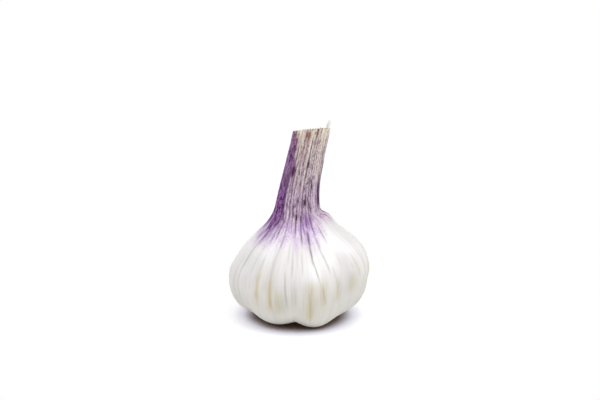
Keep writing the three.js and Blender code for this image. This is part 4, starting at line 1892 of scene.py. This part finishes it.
@dataclass(frozen=True)
class PaperySkinFinish:
    """Dried garlic leaf sheath: thin cellulose skin in fine lengthwise fibres.

    It gives the eye a pearly white with a soft satin shine, grey veins and faint yellow stains, and an
    anthocyanin purple that lies mottled in the fibres of the neck and runs down into the shoulder's folds.
    """

    tone_shares: tuple[tuple[Pattern, float], ...] = (
        (Pattern.BROKEN, 0.3),
        (Pattern.MOTTLES, 0.33),
    )
    grain_share: float = 0.37  # of the purple's tones
    vein_grooves: float = 0.7
    broken_grooves: Ramp = Ramp(0.47, 0.36, 0.0, 0.85)
    drawn_grooves: Ramp = Ramp(0.3, 0.6, 1.0, 0.6)
    bare_of_cream: Ramp = Ramp(0.0, 1.0, 1.0, 0.35)
    purple_break: Ramp = Ramp(0.35, 0.65, -0.3, 0.3)
    purple_edge: Ramp = Ramp(0.32, 0.8)
    gloss: Ramp = Ramp(0.3, 0.7, 0.37, 0.59)  # the roughness, by the fibres
    thread_relief: float = 0.14
    relief: float = 0.35
    relief_depth: float = 0.12  # millimetres
    refraction: float = 1.45
    specular: float = 0.17
    sheen: float = 0.05

    def material(self) -> bpy.types.Material:
        """Builds the material from the marks stored on the skin.

        Returns:
            The material.
        """
        material, tree = new_tree("papery_garlic_skin")
        brush = Brush(tree)
        brush.patterns[Pattern.TONES] = self.tones(brush)
        brush.marks["grooves"] = self.grooves(brush)
        # The broken fibres break up the edge of the purple.
        broken = brush.plus(brush.mark("purple"), brush.vary(Pattern.BROKEN, self.purple_break))
        brush.marks["reach"] = self.purple_edge.spread(tree, broken)
        fibres, threads = brush.patterns[Pattern.FIBRES], brush.patterns[Pattern.THREADS]
        height = brush.plus(brush.times(brush.mark("neck"), fibres), brush.times(threads, self.thread_relief))
        values = {"Height": height, "Strength": self.relief, "Distance": self.relief_depth * MM}
        relief = add_node(tree, "ShaderNodeBump", values)
        values = {
            "Base Color": brush.paint(SKIN_LAYERS),
            "Roughness": brush.vary(Pattern.FIBRES, self.gloss),
            "IOR": self.refraction,
            "Specular IOR Level": self.specular,
            "Sheen Weight": self.sheen,
            "Normal": relief.outputs[0],
        }
        surface = add_node(tree, "ShaderNodeBsdfPrincipled", values)
        add_node(tree, "ShaderNodeOutputMaterial", {"Surface": surface.outputs[0]})
        return material

    def tones(self, brush: Brush) -> Socket:
        """The noise that makes the purple lighter and darker.

        Args:
            brush: what paints the skin.

        Returns:
            A value of about a half, lower where it is lighter.
        """
        total = brush.times(brush.patterns[Pattern.GRAIN], self.grain_share)
        for pattern, share in self.tone_shares:
            total = brush.plus(brush.times(brush.patterns[pattern], share), total)
        return total

    def grooves(self, brush: Brush) -> Socket:
        """How dark the grooves between the sheath's ribs are painted at each place: partly the sheath's own
        dark lines, partly painted shade where its relief dips at the veins.

        Args:
            brush: what paints the skin.

        Returns:
            A value from 0 to 1.
        """
        veins = brush.times(brush.mark("vein"), self.vein_grooves)
        grooves = brush.plus(veins, brush.vary(Pattern.BROKEN, self.broken_grooves))
        drawn = brush.times(brush.mark("groove"), brush.vary(Pattern.BROKEN, self.drawn_grooves))
        bare = self.bare_of_cream.spread(brush.tree, brush.mark("cream"))
        return brush.times(brush.plus(grooves, drawn), bare)


@dataclass(frozen=True)
class TissueFinish:
    """A dry, matt plant tissue whose colour and relief follow the grain of one noise."""

    name: str
    tones: tuple[tuple[float, str], ...]  # how high the noise is, and the colour there
    grain: float  # millimetres across
    detail: float
    grain_roughness: float
    roughness: float
    relief: float  # 0 for none
    relief_depth: float  # millimetres

    def scaled_place(self, tree: bpy.types.NodeTree) -> tuple[Socket, float]:
        """The places that the grain lies in, and the length of their millimetre."""
        return add_node(tree, "ShaderNodeTexCoord").outputs["Object"], MM

    def material(self) -> bpy.types.Material:
        """Builds the material from its grain.

        Returns:
            The material.
        """
        material, tree = new_tree(self.name)
        place, unit = self.scaled_place(tree)
        values = {
            "Vector": place,
            "Scale": 1 / (self.grain * unit),
            "Detail": self.detail,
            "Roughness": self.grain_roughness,
        }
        grain = add_node(tree, "ShaderNodeTexNoise", values).outputs["Fac"]
        colour = add_node(tree, "ShaderNodeValToRGB", {"Fac": grain}, stops=self.tones).outputs["Color"]
        look = {"Base Color": colour, "Roughness": self.roughness}
        if self.relief:
            values = {"Height": grain, "Strength": self.relief, "Distance": self.relief_depth * MM}
            look["Normal"] = add_node(tree, "ShaderNodeBump", values).outputs[0]
        surface = add_node(tree, "ShaderNodeBsdfPrincipled", look)
        add_node(tree, "ShaderNodeOutputMaterial", {"Surface": surface.outputs[0]})
        return material


@dataclass(frozen=True)
class CutSheathFinish(TissueFinish):
    """Cut, dried leaf sheath: fibrous and matt, pale straw inside with a tan, slightly stained edge."""

    name: str = "cut_leaf_sheath"
    tones: tuple[tuple[float, str], ...] = ((0.34, "A2847C"), (0.45, "C0AA8A"), (0.62, "E6DCC6"))
    grain: float = 0.4
    detail: float = 4.0
    grain_roughness: float = 0.6
    roughness: float = 0.75
    relief: float = 0.5
    relief_depth: float = 0.1
    along: float = 0.15  # the noise's scale along the fibres, as a share of that across them

    def scaled_place(self, tree: bpy.types.NodeTree) -> tuple[Socket, float]:
        """The places on the skin, drawn out along the fibres, which are in millimetres already.

        Args:
            tree: the node tree that it goes in.

        Returns:
            The places, and 1 for the length of their millimetre.
        """
        rolled = add_node(tree, "ShaderNodeAttribute", attribute_name="rolled").outputs["Vector"]
        drawn = add_node(tree, "ShaderNodeMapping", {"Vector": rolled, "Scale": (1, 1, self.along)})
        return drawn.outputs[0], 1.0


@dataclass(frozen=True)
class DryEdgeFinish(CutSheathFinish):
    """A torn sliver of whitened sheath: thin, pale and slightly green, with its fibres showing."""

    name: str = "bleached_sheath"
    tones: tuple[tuple[float, str], ...] = ((0.35, "D2D7C8"), (0.6, "F4F7EC"))
    grain: float = 0.3
    detail: float = 3.0
    grain_roughness: float = 0.5
    roughness: float = 0.55
    relief: float = 0.0
    along: float = 0.1


@dataclass(frozen=True)
class CorkFinish(TissueFinish):
    """The root plate's corky tissue and dried roots: rough, matt and brown, with dry soil in its hollows."""

    name: str = "corky_root_tissue"
    tones: tuple[tuple[float, str], ...] = ((0.34, "4E3926"), (0.48, "8F6D45"), (0.66, "C2A478"))
    grain: float = 0.7
    detail: float = 6.0
    grain_roughness: float = 0.65
    roughness: float = 0.92
    relief: float = 0.8
    relief_depth: float = 0.3


# ---------------------------------------------------------------------------------------------------------
# The studio


def point_at(thing: bpy.types.Object, target: Point) -> None:
    """Turns a lamp or the camera towards a point.

    Args:
        thing: the lamp or the camera.
        target: the point, in metres.
    """
    bpy.context.view_layer.update()
    away = thing.location.copy()
    away.x, away.y, away.z = (t - p for t, p in zip(target, thing.location))
    thing.rotation_euler = away.to_track_quat("-Z", "Y").to_euler()


@dataclass(frozen=True)
class Softbox:
    """A soft square lamp that shines at the bulb."""

    name: str
    place: Point
    power: float  # watts
    colour: str
    size: float = 0.4
    target: Point = (0.0, 0.0, 0.03)

    def hang(self) -> None:
        """Adds the lamp at its place."""
        bpy.ops.object.light_add(type="AREA", location=self.place)
        lamp = bpy.context.object
        lamp.name = self.name
        lamp.data.shape = "SQUARE"
        lamp.data.size = self.size
        lamp.data.energy = self.power
        lamp.data.color = linear(self.colour)[:3]
        point_at(lamp, self.target)


@dataclass(frozen=True)
class StudioFloor:
    """A white floor that keeps the bulb's shadow near it and is plain white further out, in metres.

    Close to the bulb the shadow is partly cast by the lamps and partly painted, in a tone by how much of the
    studio
    the bulb hides there: deep warm brown where it hides most, a clear bluish grey further out. Part of it
    glows.
    """

    size: float = 6.0
    colour: str = "EDEDED"
    gain: float = 1.5  # how much brighter than its light the floor shows to the camera
    contact_reach: float = 0.03
    contact_samples: int = 16
    # the painted shadow's tones, by the share of the studio that the bulb leaves open to the floor
    contact_tones: tuple[tuple[float, str], ...] = (
        (0.04, "1E1509"),
        (0.12, "40332A"),
        (0.20, "665952"),
        (0.28, "A9A2A7"),
        (0.36, "DBD9E1"),
        (0.45, "E6E5EC"),
        (0.60, "FFFFFF"),
    )
    clear: Ramp = Ramp(0.03, 0.056)  # distances from the bulb's middle over which it turns plain white
    painted_shadow_share: float = 0.65  # of the floor's look near the bulb, the share that glows in the painted shadow's tone

    def build(self) -> None:
        """Lays the floor."""
        start_piece()
        bpy.ops.mesh.primitive_plane_add(size=self.size)
        floor = name_piece("floor")
        material, tree = new_tree("white_studio_floor")
        matt = add_node(tree, "ShaderNodeBsdfDiffuse", {"Color": linear(self.colour)})
        place = add_node(tree, "ShaderNodeNewGeometry").outputs["Position"]
        away = add_node(tree, "ShaderNodeVectorMath", {0: place}, operation="LENGTH").outputs["Value"]
        white = add_node(tree, "ShaderNodeEmission", {"Color": PLAIN_WHITE, "Strength": 1.0})
        values = {0: self.clear.spread(tree, away), 1: self.near(tree), 2: white.outputs[0]}
        to_camera = add_node(tree, "ShaderNodeMixShader", values)
        seen = add_node(tree, "ShaderNodeLightPath").outputs["Is Camera Ray"]
        values = {0: seen, 1: matt.outputs[0], 2: to_camera.outputs[0]}
        shown = add_node(tree, "ShaderNodeMixShader", values)
        add_node(tree, "ShaderNodeOutputMaterial", {"Surface": shown.outputs[0]})
        floor.data.materials.append(material)

    def near(self, tree: bpy.types.NodeTree) -> Socket:
        """How the floor shows to the camera close to the bulb, with its painted shadow.

        Args:
            tree: the node tree that it goes in.

        Returns:
            The surface.
        """
        # the painted shadow, by how much of the studio the bulb hides
        values = {"Distance": self.contact_reach}
        cover = add_node(tree, "ShaderNodeAmbientOcclusion", values, samples=self.contact_samples)
        values = {"Fac": cover.outputs["AO"]}
        contact = add_node(tree, "ShaderNodeValToRGB", values, stops=self.contact_tones).outputs["Color"]
        bright = (*(channel * self.gain for channel in linear(self.colour)[:3]), 1.0)
        # the lit floor, darkened by the painted shadow
        lit = add_node(tree, "ShaderNodeBsdfDiffuse", {"Color": lay(tree, contact, bright, 1.0, Blend.STAIN)})
        # the painted shadow, given off as a glow
        even = add_node(tree, "ShaderNodeEmission", {"Color": contact, "Strength": 1.0})
        values = {0: self.painted_shadow_share, 1: lit.outputs[0], 2: even.outputs[0]}
        return add_node(tree, "ShaderNodeMixShader", values).outputs[0]


@dataclass
class Studio:
    """The floor, a white world, soft lamps and the camera, in metres."""

    camera_distance: float = 0.607
    camera_elevation: float = 16.0
    lens: float = 85.0
    aim: Point = (0.0004, 0.0, 0.0517)
    world_colour: str = "F8F9FF"
    world_light: float = 0.56
    lamps: tuple[Softbox, ...] = (
        Softbox("right_softbox", (0.286, -0.165, 0.6), 2.25, "FFFFFF"),
        Softbox("left_softbox", (-0.286, -0.165, 0.6), 1.53, "FEFBFF"),
    )

    def build(self) -> None:
        """Sets up floor, world, lamps and camera."""
        StudioFloor().build()
        self.world()
        for lamp in self.lamps:
            lamp.hang()
        self.camera()
        bpy.context.scene.view_settings.view_transform = "Standard"

    def world(self) -> None:
        """Makes the world plain white to look at and a softer light on the bulb."""
        world = bpy.data.worlds.new("white_world")
        bpy.context.scene.world = world
        world.use_nodes = True
        tree = world.node_tree
        tree.nodes.clear()
        path = add_node(tree, "ShaderNodeLightPath").outputs
        seen = path["Is Camera Ray"]
        for ray in ("Is Transmission Ray", "Is Glossy Ray"):
            seen = add_node(tree, "ShaderNodeMath", {0: seen, 1: path[ray]}, operation="MAXIMUM").outputs[0]
        values = {"Color": linear(self.world_colour), "Strength": self.world_light}
        light = add_node(tree, "ShaderNodeBackground", values)
        white = add_node(tree, "ShaderNodeBackground", {"Color": PLAIN_WHITE, "Strength": 1.0})
        shown = add_node(tree, "ShaderNodeMixShader", {0: seen, 1: light.outputs[0], 2: white.outputs[0]})
        add_node(tree, "ShaderNodeOutputWorld", {"Surface": shown.outputs[0]})

    def camera(self) -> None:
        """Places the camera in front, a little above the bulb."""
        rise = math.radians(self.camera_elevation)
        place = (
            self.aim[0],
            self.aim[1] - self.camera_distance * math.cos(rise),
            self.aim[2] + self.camera_distance * math.sin(rise),
        )
        bpy.ops.object.camera_add(location=place)
        camera = bpy.context.object
        camera.name = "camera"
        camera.data.lens = self.lens
        point_at(camera, self.aim)
        bpy.context.scene.camera = camera


# ---------------------------------------------------------------------------------------------------------
# The whole bulb


def dress(piece: bpy.types.Object, material: bpy.types.Material, slot: str, *stands_for: str) -> None:
    """Gives a piece its finish, fixes it to the body and reports it.

    Args:
        piece: the finished mesh.
        material: its finish.
        slot: the record's material slot; not used.
        stands_for: the solids that it is shown in place of.
    """
    piece.data.materials.clear()
    piece.data.materials.append(material)
    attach(piece, "root")
    if stands_for:
        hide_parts(*stands_for)
    log.info("%s: %d faces", piece.name, len(piece.data.polygons))


def main() -> None:
    """Builds the bulb and its studio."""
    logging.basicConfig(level=logging.INFO, format="%(message)s")
    Studio().build()
    dress(Skin().build(), PaperySkinFinish().material(), "skin", "bulb")
    cut_sheath = CutSheathFinish().material()
    for layer in NeckEnd().build():
        dress(layer, cut_sheath, "skin")
    dress(TornSliver().build(), DryEdgeFinish().material(), "skin")
    cork = CorkFinish().material()
    plate, roots = RootPlate().build()
    dress(plate, cork, "root_plate", "root_plate")
    dress(roots, cork, "root_plate")


if __name__ == "__main__":
    main()
